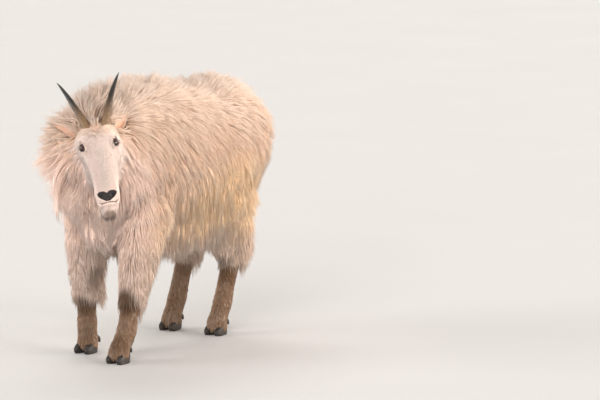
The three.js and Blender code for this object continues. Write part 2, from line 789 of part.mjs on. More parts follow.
// Shift of a row of the leg along the body
const shiftOf = (foot, row) => (foot.fore ? -foot.rows[row][0] * foot.lean : foot.rows[row][0]);

function dewclaw(foot, inner) {
  const side = inner ? -1 : 1;
  const x = foot.x + side * DEWCLAW_ASIDE;
  const y = foot.y + shiftOf(foot, 1) + DEWCLAW_BEHIND;
  const rows = DEWCLAW_ROWS.map(([aside, back, z, r]) => [x + side * aside, y + back, z, r, r, r]);
  return solid(new Form(rows, [0, -1, 0]).geometry(3, 6));
}

const legs = {};
const trunkRoom = solid(trunk.geometry(...TRUNK_MESH, grown(trunkCoat, GAP))).add(
  solid(neck.geometry(...NECK_MESH, grown(neckCoat, GAP))),
);
FEET.forEach((foot) => {
  const form = legForm(foot);
  const leg = solid(form.geometry(...LEG_MESH, () => LEG_COAT * CORE_SHARE))
    .subtract(trunkRoom)
    .intersect(beyond([0, 0, CORONET], [0, 0, 1], GAP / 2));
  const legRoom = solid(form.geometry(...LEG_MESH, () => LEG_COAT * CORE_SHARE + GAP));
  const toes = {};
  [true, false].forEach((inner) => {
    const label = (inner ? foot.x < 0 : foot.x > 0) ? 'outer' : 'inner';
    toes[`toe_${label}`] = toe(foot, inner);
    toes[`dewclaw_${label}`] = largest(dewclaw(foot, inner).subtract(legRoom));
  });
  const upper = largest(leg.intersect(beyond([0, 0, foot.split], [0, 0, 1], GAP / 2)));
  const lower = largest(leg.intersect(beyond([0, 0, foot.split], [0, 0, -1], GAP / 2)));
  legs[foot.name] = { form, upper, lower, toes };
});

// Tail
const tailGeometry = tapered(TAIL_LINE, TAIL_RADII, 1, 6, 10, 0, TAIL_REFERENCE);
const tailCore = largest(solid(tailGeometry).subtract(trunkRoom));

// Coat of the torso: crest, flanks, shoulders and thighs, belly fringe and brisket
const random = draws(SEED);
const bothSides = [1, -1];
const angleOn = (side, up) => (side > 0 ? up : 180 - up);
const rowOn = (side, { up, lie, ...rest }) => ({
  ...rest,
  angle: angleOn(side, up),
  lie: [side * lie[0], lie[1], lie[2]],
});
const mirroredRows = (rows) => bothSides.flatMap((side) => rows.map((row) => rowOn(side, row)));
const placeOn = (side, [t, up, length, reach]) => [t, angleOn(side, up), length, reach];
const mirroredPlaces = (places) => bothSides.flatMap((side) => places.map((place) => placeOn(side, place)));
const crest = CREST_ANGLES.map((angle, row) => ({
  ...CREST_ROW,
  angle,
  from: 0.33 + 0.02 * row,
  to: 0.95 + 0.02 * row,
}));
const belly = mirroredPlaces(BELLY_PLACES.map((t) => [t, ...BELLY_LOCK]));
const brisket = BRISKET_ANGLES.map((angle) => [BRISKET_LOCK[0], angle, BRISKET_LOCK[1], BRISKET_LOCK[2]]);
const torsoLocks = [
  ...lyingRows(trunk, trunkCoat, [...crest, ...mirroredRows(FLANK_ROWS)], random, -1),
  ...hangingLocks(trunk, trunkCoat, mirroredPlaces(SHOULDER), [0, 0.2, -1], SHOULDER_WIDTH, random),
  ...hangingLocks(trunk, trunkCoat, [...belly, ...brisket], [0, 0.1, -1], FRINGE_WIDTH, random),
];
const hard = [...Object.values(eyes), ...Object.values(horns), ...Object.values(ears), nosePad];
const uppers = Object.values(legs).map((leg) => leg.upper);
const torso = dress(torsoCore, torsoLocks, [neckCore, tailCore, ...uppers]);

// Neck: mane, ruff, throat and the long strands that hang off its right side
const mane = MANE_ANGLES.map((angle, row) => ({ ...MANE_ROW, angle, from: 0.06 + 0.05 * row }));
const throat = THROAT_PLACES.flatMap((t) => THROAT_ANGLES.map((angle) => [t, angle, ...THROAT_LOCK]));
const neckLocks = [
  ...lyingRows(neck, neckCoat, [...mane, ...mirroredRows(RUFF_ROWS)], random, 1),
  ...hangingLocks(neck, neckCoat, throat, [0, 0, -1], THROAT_WIDTH, random, 1),
  ...hangingLocks(neck, neckCoat, STRANDS, [0, 0.22, -1], STRAND_WIDTH, random, 1),
];
const neckDressed = dress(neckCore, neckLocks, [torso, headCore, ...hard, ...uppers]);

// Head: the beard under the jaw
const jawInWorld = {
  point: (t, angle, grow) => jawForm.point(t, angle, grow).applyMatrix4(headMatrix),
  normal: (t, angle, grow) => jawForm.normal(t, angle, grow).transformDirection(headMatrix),
};
const beardLocks = hangingLocks(jawInWorld, () => FACE_COAT, BEARD, [0, 0, -1], BEARD_WIDTH, random);
const head = dress(headCore, beardLocks, [neckDressed, torso, ...hard]);

// Legs: chaps on the fore legs and pantaloons on the hind legs
FEET.forEach(({ name, fore }) => {
  const leg = legs[name];
  const places = fore ? CHAPS : PANTALOONS;
  const others = [torso, neckDressed, leg.lower, ...uppers].filter((other) => other !== leg.upper);
  const coat = () => LEG_COAT;
  const legLocks = hangingLocks(leg.form, coat, places, [0, 0.12, -1], LEG_LOCK_WIDTH, random, -1);
  leg.dressed = dress(leg.upper, legLocks, others);
});

// Tail tuft
const tailForm = new Form(
  TAIL_LINE.map(([x, y, z], row) => [x, y, z, TAIL_RADII[row], TAIL_RADII[row], TAIL_RADII[row]]),
  TAIL_REFERENCE,
);
const tailLocks = hangingLocks(tailForm, () => 0, TAIL_TUFT, [0, 0.1, -1], TAIL_LOCK_WIDTH, random);
const tail = dress(tailCore, tailLocks, [torso]);

const MATERIALS = {
  coat: new THREE.MeshStandardMaterial({ color: COLOURS.coat, roughness: 0.9, metalness: 0 }),
  horn: new THREE.MeshStandardMaterial({ color: COLOURS.horn, roughness: 0.45, metalness: 0 }),
  hoof: new THREE.MeshStandardMaterial({ color: COLOURS.hoof, roughness: 0.6, metalness: 0 }),
  eye: new THREE.MeshStandardMaterial({ color: COLOURS.eye, roughness: 0.15, metalness: 0 }),
  nose: new THREE.MeshStandardMaterial({ color: COLOURS.nose, roughness: 0.5, metalness: 0 }),
};

const nodes = [
  ['torso', torso, 'coat'],
  ['neck', neckDressed, 'coat'],
  ['head', head, 'coat'],
  ['nose_pad', nosePad, 'nose'],
  ['tail', tail, 'coat'],
];
Object.keys(SIDES).forEach((name) => {
  nodes.push([`eye_${name}`, eyes[name], 'eye']);
  nodes.push([`horn_${name}`, horns[name], 'horn']);
  nodes.push([`ear_${name}`, ears[name], 'coat']);
});
Object.entries(legs).forEach(([name, leg]) => {
  nodes.push([`${name}_upper`, leg.dressed, 'coat']);
  nodes.push([`${name}_lower`, leg.lower, 'coat']);
  Object.entries(leg.toes).forEach(([label, body]) => {
    nodes.push([`${name}_${label}`, body, 'hoof']);
  });
});

const goat = new THREE.Group();
nodes.forEach(([name, body, slot]) => {
  const { vertProperties, triVerts } = body.getMesh();
  const mesh = new THREE.Mesh(shell(vertProperties, Array.from(triVerts)), MATERIALS[slot]);
  mesh.name = name;
  goat.add(mesh);
});

// The origin is the bottom centre of the whole animal's box
const box = new THREE.Box3().setFromObject(goat);
const middle = box.getCenter(new THREE.Vector3());
goat.position.set(-middle.x, -middle.y, -box.min.z);

export default goat;
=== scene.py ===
# An adult mountain goat in its long coat, standing with its head turned to its left.
# Forms are worked out in millimetres in the frame they were drawn in, where the animal faces -Y and its
# left side is +X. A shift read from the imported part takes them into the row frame, in metres.
import math

import bpy
import numpy as np
from mathutils import Matrix, Vector
from mathutils.kdtree import KDTree


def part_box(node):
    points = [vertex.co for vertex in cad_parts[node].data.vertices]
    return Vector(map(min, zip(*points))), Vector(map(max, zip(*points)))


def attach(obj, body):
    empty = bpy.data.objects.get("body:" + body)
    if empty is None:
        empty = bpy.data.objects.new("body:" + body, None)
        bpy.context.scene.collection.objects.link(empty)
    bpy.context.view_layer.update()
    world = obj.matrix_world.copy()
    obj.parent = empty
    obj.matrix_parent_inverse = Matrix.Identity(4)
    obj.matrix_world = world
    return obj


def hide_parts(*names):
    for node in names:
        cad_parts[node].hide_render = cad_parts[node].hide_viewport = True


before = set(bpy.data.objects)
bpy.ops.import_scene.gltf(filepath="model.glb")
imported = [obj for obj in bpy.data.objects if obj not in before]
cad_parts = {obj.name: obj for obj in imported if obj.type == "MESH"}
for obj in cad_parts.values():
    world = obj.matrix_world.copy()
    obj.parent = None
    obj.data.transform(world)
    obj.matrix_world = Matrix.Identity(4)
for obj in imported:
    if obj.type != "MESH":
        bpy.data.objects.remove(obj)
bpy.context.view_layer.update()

MM = 0.001
SEED = 11
random = np.random.default_rng(SEED)
UP = np.array([0.0, 0.0, 1.0])
DOWN = -UP

# Trunk, front to rear: y, top and bottom of the skin, half width, coat depth on back, side and belly
TRUNK_ROWS = np.array([
    [-384, 640, 540, 30, 70, 50, 60],
    [-352, 700, 474, 74, 76, 54, 70],
    [-290, 765, 430, 108, 84, 58, 80],
    [-210, 806, 410, 130, 88, 60, 84],
    [-120, 822, 405, 145, 88, 60, 86],
    [-30, 818, 398, 160, 86, 60, 88],
    [60, 800, 398, 170, 76, 60, 90],
    [150, 793, 405, 175, 78, 60, 92],
    [250, 797, 428, 170, 84, 60, 95],
    [340, 795, 462, 156, 86, 58, 95],
    [410, 768, 508, 130, 80, 56, 90],
    [455, 724, 556, 96, 72, 52, 80],
    [480, 672, 608, 44, 64, 48, 66],
], float)
TRUNK_SQUARENESS = 2.25

# Neck, head end to base: centre, half width, up, down, coat depth on crest, left side, throat, right side
NECK_ROWS = np.array([
    [66, -432, 712, 48, 60, 62, 105, 45, 50, 70],
    [46, -396, 704, 66, 98, 90, 112, 55, 70, 110],
    [20, -345, 686, 86, 126, 122, 108, 60, 84, 125],
    [2, -285, 658, 104, 152, 154, 98, 60, 84, 110],
    [0, -205, 640, 118, 174, 178, 88, 60, 84, 80],
], float)
LIMB_SQUARENESS = 2.1

# Head, in its own frame: x to its left, y to its rear, z up the face, origin midway between the eyes
HEAD_AT = (101, -467, 722)
HEAD_TURN = math.radians(35.5)
HEAD_ROLL = math.radians(-9.5)
HEAD_PITCH = math.radians(-22)

# Head rows, muzzle to poll: z, depth of the widest line, half width, front and rear of the section from it
HEAD_ROWS = [
    [-197, 34, 14, 12, 16],
    [-191, 36, 27, 24, 26],
    [-176, 38, 34, 30, 32],
    [-152, 38, 36.5, 33, 38],
    [-128, 38, 37, 33, 44],
    [-95, 40, 41, 37, 58],
    [-60, 42, 46, 44, 76],
    [-30, 44, 52, 48, 88],
    [0, 46, 56, 50, 92],
    [28, 50, 56, 49, 84],
    [50, 58, 50, 45, 64],
    [66, 66, 38, 34, 44],
    [73, 68, 20, 19, 26],
]
HEAD_SQUARENESS = 2.9
JAW_ROWS = [
    [-209, 42, 9, 8, 9],
    [-203, 42, 21, 16, 16],
    [-188, 47, 29, 21, 24],
    [-155, 58, 32, 24, 32],
    [-105, 78, 36, 24, 40],
    [-55, 98, 42, 24, 44],
    [-15, 106, 44, 24, 40],
]
JAW_SQUARENESS = 2.3

EYE_RADIUS = 14.5
EYE_AT = np.array([46.5, 13, 0])
EYE_AXIS = np.array([0.8, -0.58, 0.12])
EYE_LONG = np.array([0.0, 0.8, 0.6])
EYE_OPENING = (math.radians(50), math.radians(34))

# Horn: centre line in the head frame, radii from base to tip, and the height above which no hair may lie
# in front of it
HORN_LINE = [[24, 28, 36], [29, 26, 64], [47, 36, 120], [70, 56, 181], [90, 82, 228], [101, 100, 251]]
HORN_RADII = [15.2, 14.6, 11.4, 8.2, 4.6, 1.2]
HORN_FOOT = 62

# Ears, left (1) and right (-1), in the head frame. The right one is held out and faces down, the left one is
# laid back
EAR_ROOT = np.array([50, 66, 48])
EAR_TIPS = {1: [108, 120, 120], -1: [142, 78, 116]}
EAR_OPENINGS = {1: [0.45, -0.85, -0.25], -1: [0.1, -0.38, -0.92]}
EAR_HALF_WIDTHS = [12, 18, 20, 17, 10, 2.5]
EAR_DEPTHS = [14, 15, 13, 10, 7, 2.5]
EAR_FOLD = [66, 48, 36, 28, 20, 10]
EAR_WALL = 3.2

# Legs, floor to top: shift along the body from the hoof, height, half width, front, rear
FORE_ROWS = [
    [4, 12, 30, 30, 24],
    [2, 40, 29, 30, 26],
    [-10, 70, 25, 27, 26],
    [-22, 96, 27, 29, 30],
    [-28, 135, 24, 26, 27],
    [-36, 176, 28, 31, 29],
    [-41, 206, 30, 33, 30],
    [-48, 270, 36, 40, 42],
    [-58, 350, 42, 46, 54],
    [-74, 440, 42, 48, 60],
    [-86, 500, 34, 38, 50],
]
HIND_ROWS = [
    [-4, 12, 30, 30, 24],
    [-2, 40, 29, 30, 26],
    [14, 70, 25, 27, 26],
    [28, 96, 27, 29, 30],
    [48, 150, 24, 26, 27],
    [74, 215, 25, 28, 30],
    [92, 268, 29, 34, 38],
    [82, 318, 36, 44, 46],
    [44, 390, 52, 66, 66],
    [14, 470, 60, 80, 90],
    [24, 540, 56, 80, 90],
]

# Each leg: hoof position, rows, lean of the shaft and the height where the long hair ends
LEGS = {
    "foreleg_left": dict(x=95, y=-350, rows=FORE_ROWS, lean=1.7, chaps=205, fore=True),
    "foreleg_right": dict(x=-95, y=-262, rows=FORE_ROWS, lean=-0.15, chaps=205, fore=True),
    "hindleg_left": dict(x=90, y=228, rows=HIND_ROWS, lean=1, chaps=262, fore=False),
    "hindleg_right": dict(x=-90, y=222, rows=HIND_ROWS, lean=1, chaps=262, fore=False),
}
CORONET = 30
FLOOR_CLEARANCE = 6
TOE_WIDTH = 29
TOE_PARTING = 5
TOE_SPLAY = math.radians(7)
DEWCLAW_ASIDE = 14
DEWCLAW_BEHIND = 28

TAIL_LINE = [[0, 462, 716], [0, 502, 692], [0, 524, 640], [0, 528, 588]]
TAIL_RADII = [26, 26, 21, 8]


# Vectors and curves
def unit(vectors):
    return vectors / np.maximum(np.linalg.norm(vectors, axis=-1, keepdims=True), 1e-9)


def smoothstep(low, high, value):
    share = np.clip((value - low) / (high - low), 0, 1)
    return share * share * (3 - 2 * share)


def spline(points, t):
    """A uniform Catmull-Rom curve through the points, at each t from 0 to 1."""
    points = np.asarray(points, float)
    last = len(points) - 1
    place = np.clip(t, 0, 1) * last
    row = np.minimum(place.astype(int), last - 1)
    run = (place - row)[:, None]
    ends = np.vstack([2 * points[0] - points[1], points, 2 * points[-1] - points[-2]])
    before, start, end, after = (ends[row + k] for k in range(4))
    leave, arrive = 0.5 * (end - before), 0.5 * (after - start)
    square = 3 * (end - start) - 2 * leave - arrive
    cube = 2 * (start - end) + leave + arrive
    return start + run * (leave + run * (square + run * cube))


def curve(values, t):
    """A smooth run through single numbers."""
    return spline(np.array(values)[:, None], t)[:, 0]


def evenly(count):
    """Angles evenly round a circle."""
    return np.arange(count) / count * 2 * np.pi


class Form:
    """A closed form lofted through rows of centre and half sizes, with superellipse sections."""

    def __init__(self, rows, reference, squareness=2.0):
        rows = np.array(rows, float)
        self.line = rows[:, :3]
        self.size = rows[:, 3:6]
        self.reference = np.array(reference, float)
        self.power = 2 / squareness

    def frame(self, t):
        ahead = spline(self.line, np.minimum(t + 0.002, 1))
        behind = spline(self.line, np.maximum(t - 0.002, 0))
        along = unit(ahead - behind)
        fore = unit(self.reference - along * (along @ self.reference)[:, None])
        return spline(self.line, t), along, fore, np.cross(along, fore)

    def point(self, t, angle, grow=0.0):
        centre, _, fore, side = self.frame(t)
        size = spline(self.size, t)
        across, up = np.cos(angle), np.sin(angle)
        half = np.where(up > 0, size[:, 1], size[:, 2])
        aside = np.sign(across) * np.abs(across) ** self.power * (size[:, 0] + grow)
        rise = np.sign(up) * np.abs(up) ** self.power * (half + grow)
        return centre + side * aside[:, None] + fore * rise[:, None]


    def grid(self, rings, sides, grow=0.0):
        t, angle = np.meshgrid(np.linspace(0, 1, rings + 1), evenly(sides), indexing="ij")
        return self.point(t.ravel(), angle.ravel(), grow), t.ravel(), angle.ravel()

    def shell(self, rings, sides, grow=0.0):
        points, _, _ = self.grid(rings, sides, grow)
        ends = self.point(np.array([0.0, 0.0, 1.0, 1.0]), np.array([0, np.pi, 0, np.pi]), grow)
        caps = np.array([(ends[0] + ends[1]) / 2, (ends[2] + ends[3]) / 2])
        return np.vstack([points, caps]), tube_faces(rings, sides)


def tube_faces(rings, sides):
    """Faces of a closed tube of rings of points, with a point at each end after them."""
    def cell(ring, side):
        return ring * sides + side % sides
    faces = [
        (cell(r, s), cell(r + 1, s), cell(r + 1, s + 1), cell(r, s + 1))
        for r in range(rings) for s in range(sides)
    ]
    start = (rings + 1) * sides
    faces += [(start, cell(0, s), cell(0, s + 1)) for s in range(sides)]
    faces += [(start + 1, cell(rings, s + 1), cell(rings, s)) for s in range(sides)]
    return faces


def between(rows, column, t):
    """A column of the rows, read evenly along t."""
    return np.interp(t, np.linspace(0, 1, len(rows)), rows[:, column])


# Frames: the head's own, and from the drawing frame to the row frame
def turned(axis, angle):
    return np.array(Matrix.Rotation(angle, 3, axis))


HEAD = turned("Z", HEAD_TURN) @ turned("Y", HEAD_ROLL) @ turned("X", HEAD_PITCH)


def from_head(points):
    return np.asarray(points, float) @ HEAD.T + np.array(HEAD_AT)


def to_head(points):
    return (points - np.array(HEAD_AT)) @ HEAD


def mirrored(vector, side):
    return np.array(vector, float) * np.array([side, 1, 1])


def part_shift():
    """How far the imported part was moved, from its two eyes."""
    shifts = []
    for name, side in (("eye_left", 1), ("eye_right", -1)):
        low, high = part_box(name)
        middle = np.array((low + high) / 2) / MM
        shifts.append(middle - from_head(mirrored(EYE_AT, side)))
    shift = np.mean(shifts, axis=0)
    shift[2] = 0
    return shift


SHIFT = part_shift()


def to_row(points):
    return (points + SHIFT) * MM


# Mesh building
def placed(name, data):
    """A new object in the scene."""
    thing = bpy.data.objects.new(name, data)
    bpy.context.scene.collection.objects.link(thing)
    return thing


def shade_smooth(mesh):
    mesh.polygons.foreach_set("use_smooth", np.full(len(mesh.polygons), True))


def new_object(name, points, faces):
    """An object from points in the drawing frame."""
    mesh = bpy.data.meshes.new(name)
    mesh.from_pydata(to_row(np.asarray(points)).tolist(), [], [tuple(face) for face in faces])
    shade_smooth(mesh)
    mesh.update()
    return placed(name, mesh)


def joined(parts):
    """Several (points, faces) shells as one."""
    points, faces, count = [], [], 0
    for shell_points, shell_faces in parts:
        points.append(shell_points)
        faces += [tuple(index + count for index in face) for face in shell_faces]
        count += len(shell_points)
    return np.vstack(points), faces


def read_points(thing, what):
    values = np.zeros(len(thing.data.vertices) * 3)
    thing.data.vertices.foreach_get(what, values)
    return values.reshape(-1, 3)


def coordinates(thing):
    return read_points(thing, "co") / MM - SHIFT


def set_coordinates(thing, points):
    thing.data.vertices.foreach_set("co", to_row(points).ravel())
    thing.data.update()


def applied(thing):
    """Applies the modifiers of an object to its mesh."""
    graph = bpy.context.evaluated_depsgraph_get()
    mesh = bpy.data.meshes.new_from_object(thing.evaluated_get(graph))
    thing.modifiers.clear()
    thing.data = mesh
    shade_smooth(mesh)
    return thing


def remeshed(name, parts, voxel, smoothing):
    """Fuses closed shells into one even, smoothed surface."""
    thing = new_object(name, *joined(parts))
    fuse = thing.modifiers.new("fuse", "REMESH")
    fuse.mode = "VOXEL"
    fuse.voxel_size = voxel * MM
    even = thing.modifiers.new("even", "SMOOTH")
    even.factor = 0.5
    even.iterations = smoothing
    return applied(thing)


def store(thing, name, values):
    """Stores a number or a vector for each point of a mesh."""
    values = np.asarray(values, np.float32)
    kind, field = ("FLOAT", "value") if values.ndim == 1 else ("FLOAT_VECTOR", "vector")
    thing.data.attributes.new(name, kind, "POINT").data.foreach_set(field, values.ravel())


def fitted(thing, look, slot, *nodes):
    """Gives a piece its material and its body, and hides the nodes that it stands for. The slot is not used.
    """
    thing.data.materials.append(look)
    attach(thing, "root")
    if nodes:
        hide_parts(*nodes)


# The forms of the body
def trunk_form():
    y, top, bottom, half = TRUNK_ROWS[:, :4].T
    middle = bottom + 0.5 * (top - bottom)
    rows = np.column_stack([np.zeros(len(y)), y, middle, half, top - middle, middle - bottom])
    return Form(rows, UP, TRUNK_SQUARENESS)


def upright_form(rows, squareness):
    """A form on the middle plane of the head, from rows of height, depth and half sizes."""
    return Form([[0, y, z, *half_sizes] for z, y, *half_sizes in rows], (0, -1, 0), squareness)


def leg_row(leg, shift, height, *half_sizes):
    """A row of a leg, with its shift along the body leaned as that leg stands."""
    along = -shift * leg["lean"] if leg["fore"] else shift
    return [leg["x"], leg["y"] + along, height, *half_sizes]


trunk = trunk_form()
neck = Form(NECK_ROWS[:, :6], UP, LIMB_SQUARENESS)
head_form = upright_form(HEAD_ROWS, HEAD_SQUARENESS)
jaw_form = upright_form(JAW_ROWS, JAW_SQUARENESS)
tail = Form([[*at, r, r, r] for at, r in zip(TAIL_LINE, TAIL_RADII)], (0, 1, 0.3))
leg_forms = {
    name: Form([leg_row(leg, *row) for row in leg["rows"]], (0, -1, 0), LIMB_SQUARENESS)
    for name, leg in LEGS.items()
}


def ear_line(side):
    """Root and tip of an ear and the direction that its cup opens to, square to its length."""
    root, tip, opening = (mirrored(v, side) for v in (EAR_ROOT, EAR_TIPS[side], EAR_OPENINGS[side]))
    along = unit(tip - root)
    return root, tip, unit(opening - along * (along @ opening))


def ear_shell(side, stations=26, arc=20):
    """A leaf-shaped cup, as a crescent section swept from root to tip."""
    share = np.linspace(0, 1, stations)
    root, tip, opening = ear_line(side)
    along = unit(tip - root)
    across = np.cross(along, opening)
    bow = np.sin(share * np.pi)[:, None] * -5 * opening
    centres = root + share[:, None] * (tip - root) + bow
    half, deep, fold = (curve(values, share) for values in (EAR_HALF_WIDTHS, EAR_DEPTHS, EAR_FOLD))
    wall = np.minimum(EAR_WALL, 0.6 * deep)
    points = []
    for i in range(stations):
        start, end = math.radians(fold[i]), math.radians(-180 - fold[i])
        angles = np.linspace(start, end, arc)
        outer = np.column_stack([np.cos(angles) * half[i], np.sin(angles) * deep[i]])
        inner = np.column_stack([
            np.cos(angles) * max(half[i] - wall[i], 0.8), np.sin(angles) * max(deep[i] - wall[i], 0.6),
        ])[::-1]
        ring = np.vstack([outer, inner])
        points.append(centres[i] + ring[:, :1] * across + ring[:, 1:] * opening)
    points.append(np.array([points[0].mean(axis=0), points[-1].mean(axis=0)]))
    return from_head(np.vstack(points)), tube_faces(stations - 1, 2 * arc)


# Head: fused, then shaped by soft moves along its normals, in the head frame
MOUTH_LINE = [[0, 13, -193], [12, 15, -192], [24, 22, -185], [32, 33, -172], [35, 44, -158], [35, 54, -147]]
MOUTH_SAMPLES = 40
WHORL_HEIGHT = 56
NOSE_TOP = -151
NOSE_BOTTOM = -183
GLAND = [11, 24, 59]
GLAND_RADII = [9, 14, 9]
FAR = 1e9

# Around each eye: reach of the lids' bed, angle of its edge past the opening, its radius and the socket's
LID_REACH = 34
LID_EDGE = math.radians(4)
LID_BED = 16.4
SOCKET = 12.5

# Soft moves: centre, radii and height of each, mirrored on both sides
FACE_MOVES = [
    ([42, 4, 21], [17, 16, 8], 4.5),
    ([50, 12, 0], [20, 22, 20], 2.5),
    ([38, 4, -24], [11, 14, 17], -3.2),
    ([50, 36, -34], [12, 12, 26], 3.0),
    ([40, 34, -98], [14, 24, 40], -3.5),
    ([42, 84, -24], [18, 30, 36], 4.5),
    ([25, 10, -158], [10, 11, 9], 3.2),
    ([0, 0, 30], [22, 20, 20], 2.2),
    ([0, 0, -60], [9, 16, 50], 1.4),
    ([14, 8, -178], [9, 10, 7], 1.8),
    ([0, 5, -178], [1.8, 10, 12], -1.6),
    ([0, 38, -208], [15, 14, 8], 2.5),
    (GLAND, [7, 9, 7], 6.0),
]
NOSTRIL_MOVES = [
    ([17, 4, -166], [5.0, 9, 5.5], -8.0),
    ([24, 8, -161], [4.5, 9, 4.0], -6.0),
]


def soft_moves(points, moves):
    height = np.zeros(len(points))
    for centre, radii, amount in moves:
        for side in (1, -1) if centre[0] else (1,):
            offset = (points - mirrored(centre, side)) / np.array(radii)
            height += amount * np.exp(-(offset ** 2).sum(axis=1))
    return height


def nearest_index(points, line):
    """Index of the point nearest to each of some places along the line, each point once."""
    samples = spline(line, np.linspace(0, 1, MOUTH_SAMPLES))
    return list(dict.fromkeys(np.argmin(((points - sample) ** 2).sum(axis=1)) for sample in samples))


def line_distance(points, line):
    """Distance from each point to the line and its mirror image."""
    folded = np.column_stack([np.abs(points[:, 0]), points[:, 1:]])
    best = np.full(len(points), FAR)
    for start, end in zip(line[:-1], line[1:]):
        way = end - start
        run = np.clip((folded - start) @ way / (way @ way), 0, 1)[:, None]
        best = np.minimum(best, np.linalg.norm(folded - start - run * way, axis=1))
    return best


def nose_cover(points):
    """How far each point of the head is inside the outline of the nose pad, in millimetres."""
    x, y, z = np.abs(points[:, 0]), points[:, 1], points[:, 2]
    half = np.interp(z, [-184, -180, -173, -165, -157, -150], [6, 12, 22, 29, 32, 32])
    top = NOSE_TOP - 6 * np.exp(-(x / 6) ** 2) - 5 * smoothstep(22, 34, x)
    return np.minimum.reduce([half - x, top - z, z - NOSE_BOTTOM, (30 - y) * 0.6])


def eye_frame(side):
    axis = unit(mirrored(EYE_AXIS, side))
    long = mirrored(EYE_LONG, side)
    long = unit(long - axis * (axis @ long))
    return axis, long, np.cross(axis, long)


def eye_opening(theta):
    """Angle from the eye's axis to the edge of the lids, wider along the long axis and pointed there."""
    wide, high = EYE_OPENING
    oval = 1 / np.sqrt((np.cos(theta) / wide) ** 2 + (np.sin(theta) / high) ** 2)
    return oval * (1 + 0.05 * np.cos(2 * theta))


def around_eye(points, side):
    """Direction and distance from an eye's centre, angle from its axis, and angle past the lids' edge."""
    axis, long, across = eye_frame(side)
    offset = points - mirrored(EYE_AT, side)
    way = unit(offset)
    rho = np.arccos(np.clip(way @ axis, -1, 1))
    theta = np.arctan2(way @ across, way @ long)
    return way, np.linalg.norm(offset, axis=1), rho, rho - eye_opening(theta)


def lid_shell(side, around=72):
    """The lids as a closed ring: a rolled edge against the eyeball, a crease and a skirt under the skin."""
    axis, long, across = eye_frame(side)
    profile = [
        (14.6, 14), (14.7, 4), (15.0, 0.6), (15.7, -0.8), (16.5, 0.6), (16.9, 4), (16.9, 9), (16.3, 13),
        (16.9, 18), (17.2, 26), (16.6, 38), (15.0, 52), (13.6, 40),
    ]
    theta = evenly(around)
    opening = eye_opening(theta)
    way = np.cos(theta)[:, None] * long + np.sin(theta)[:, None] * across
    rings = []
    for radius, past in profile:
        rho = (opening + math.radians(past))[:, None]
        rings.append(mirrored(EYE_AT, side) + radius * (np.cos(rho) * axis + np.sin(rho) * way))
    faces = []
    for ring in range(len(profile)):
        here, there = ring * around, (ring + 1) % len(profile) * around
        for s in range(around):
            beyond = (s + 1) % around
            faces.append((here + beyond, there + beyond, there + s, here + s))
    return from_head(np.vstack(rings)), faces


def shape_head(thing):
    """Moves the surface of the head into shape and gives the line at the bottom of the mouth's groove."""
    points = to_head(coordinates(thing))
    out = read_points(thing, "normal") @ HEAD
    height = soft_moves(points, FACE_MOVES)
    mouth = nearest_index(points, MOUTH_LINE)
    lip = line_distance(points, points[mouth])
    height += 1.4 * np.exp(-((lip - 6) / 3.5) ** 2) - 4.4 * np.exp(-(lip / 2.9) ** 2)
    cover = nose_cover(points)
    height += 1.2 * smoothstep(-1.5, 2.5, cover)
    height += soft_moves(points, NOSTRIL_MOVES) * smoothstep(-1, 2, cover)
    points = points + out * height[:, None]
    for side in (1, -1):
        way, radius, rho, past = around_eye(points, side)
        near = radius < LID_REACH
        lidded = near & (past > LID_EDGE) & (rho < math.radians(96))
        wanted = np.where(lidded, np.maximum(radius, LID_BED - 3.0 * smoothstep(0.5, 1.2, past)), radius)
        wanted = np.where(near & (past <= LID_EDGE), np.minimum(radius, SOCKET), wanted)
        points = mirrored(EYE_AT, side) + way * wanted[:, None]
    set_coordinates(thing, from_head(points))
    return points[mouth]


def build_skin():
    """One closed skin over trunk, neck, head, ears, legs and tail, and the bottom line of the mouth on it."""
    body_parts = [trunk.shell(60, 64), neck.shell(40, 48), tail.shell(24, 24)]
    body_parts += [form.shell(70, 32) for form in leg_forms.values()]
    body = remeshed("skin", body_parts, voxel=7.5, smoothing=6)
    head_shells = []
    for form in (head_form, jaw_form):
        points, faces = form.shell(110, 96)
        head_shells.append((from_head(points), faces))
    head_shells += [ear_shell(1), ear_shell(-1)]
    head = remeshed("head", head_shells, voxel=1.8, smoothing=5)
    mouth = shape_head(head)
    union = body.modifiers.new("union", "BOOLEAN")
    union.operation = "UNION"
    union.solver = "MANIFOLD"
    union.object = head
    applied(body)
    bpy.data.objects.remove(head)
    return body, mouth


skin, mouth_line = build_skin()
skin_points = coordinates(skin)
skin_normals = read_points(skin, "normal")

# The forms that each point of the skin is placed on
FORMS = {"trunk": trunk, "neck": neck, "head": head_form, "jaw": jaw_form, "tail": tail, **leg_forms}
FORM_SAMPLES = 90


def nearest(tree, points):
    """Index and distance of the nearest point of a tree, for each point."""
    found = [tree.find(point) for point in points.tolist()]
    return np.array([hit[1] for hit in found]), np.array([hit[2] for hit in found])


def tree_of(points):
    tree = KDTree(len(points))
    for index, point in enumerate(points.tolist()):
        tree.insert(point, index)
    tree.balance()
    return tree


# Smooth noise made of crossed waves
def waves(points, size, seed):
    draw = np.random.default_rng(seed)
    total = np.zeros(len(points))
    for _ in range(7):
        way = unit(draw.normal(size=3))
        pace = 2 * np.pi / size
        total += np.sin(points @ way * pace * draw.uniform(0.7, 1.4) + draw.uniform(0, 2 * np.pi))
    return total / math.sqrt(7)


def ear_place(points, side):
    """How far along an ear each point is, its distance from the middle line and how far inside it is."""
    root, tip, opening = ear_line(side)
    way = tip - root
    offset = to_head(points) - root
    share = offset @ way / (way @ way)
    offset = offset - np.clip(share, 0, 1)[:, None] * way
    return share, np.linalg.norm(offset, axis=1), offset @ opening


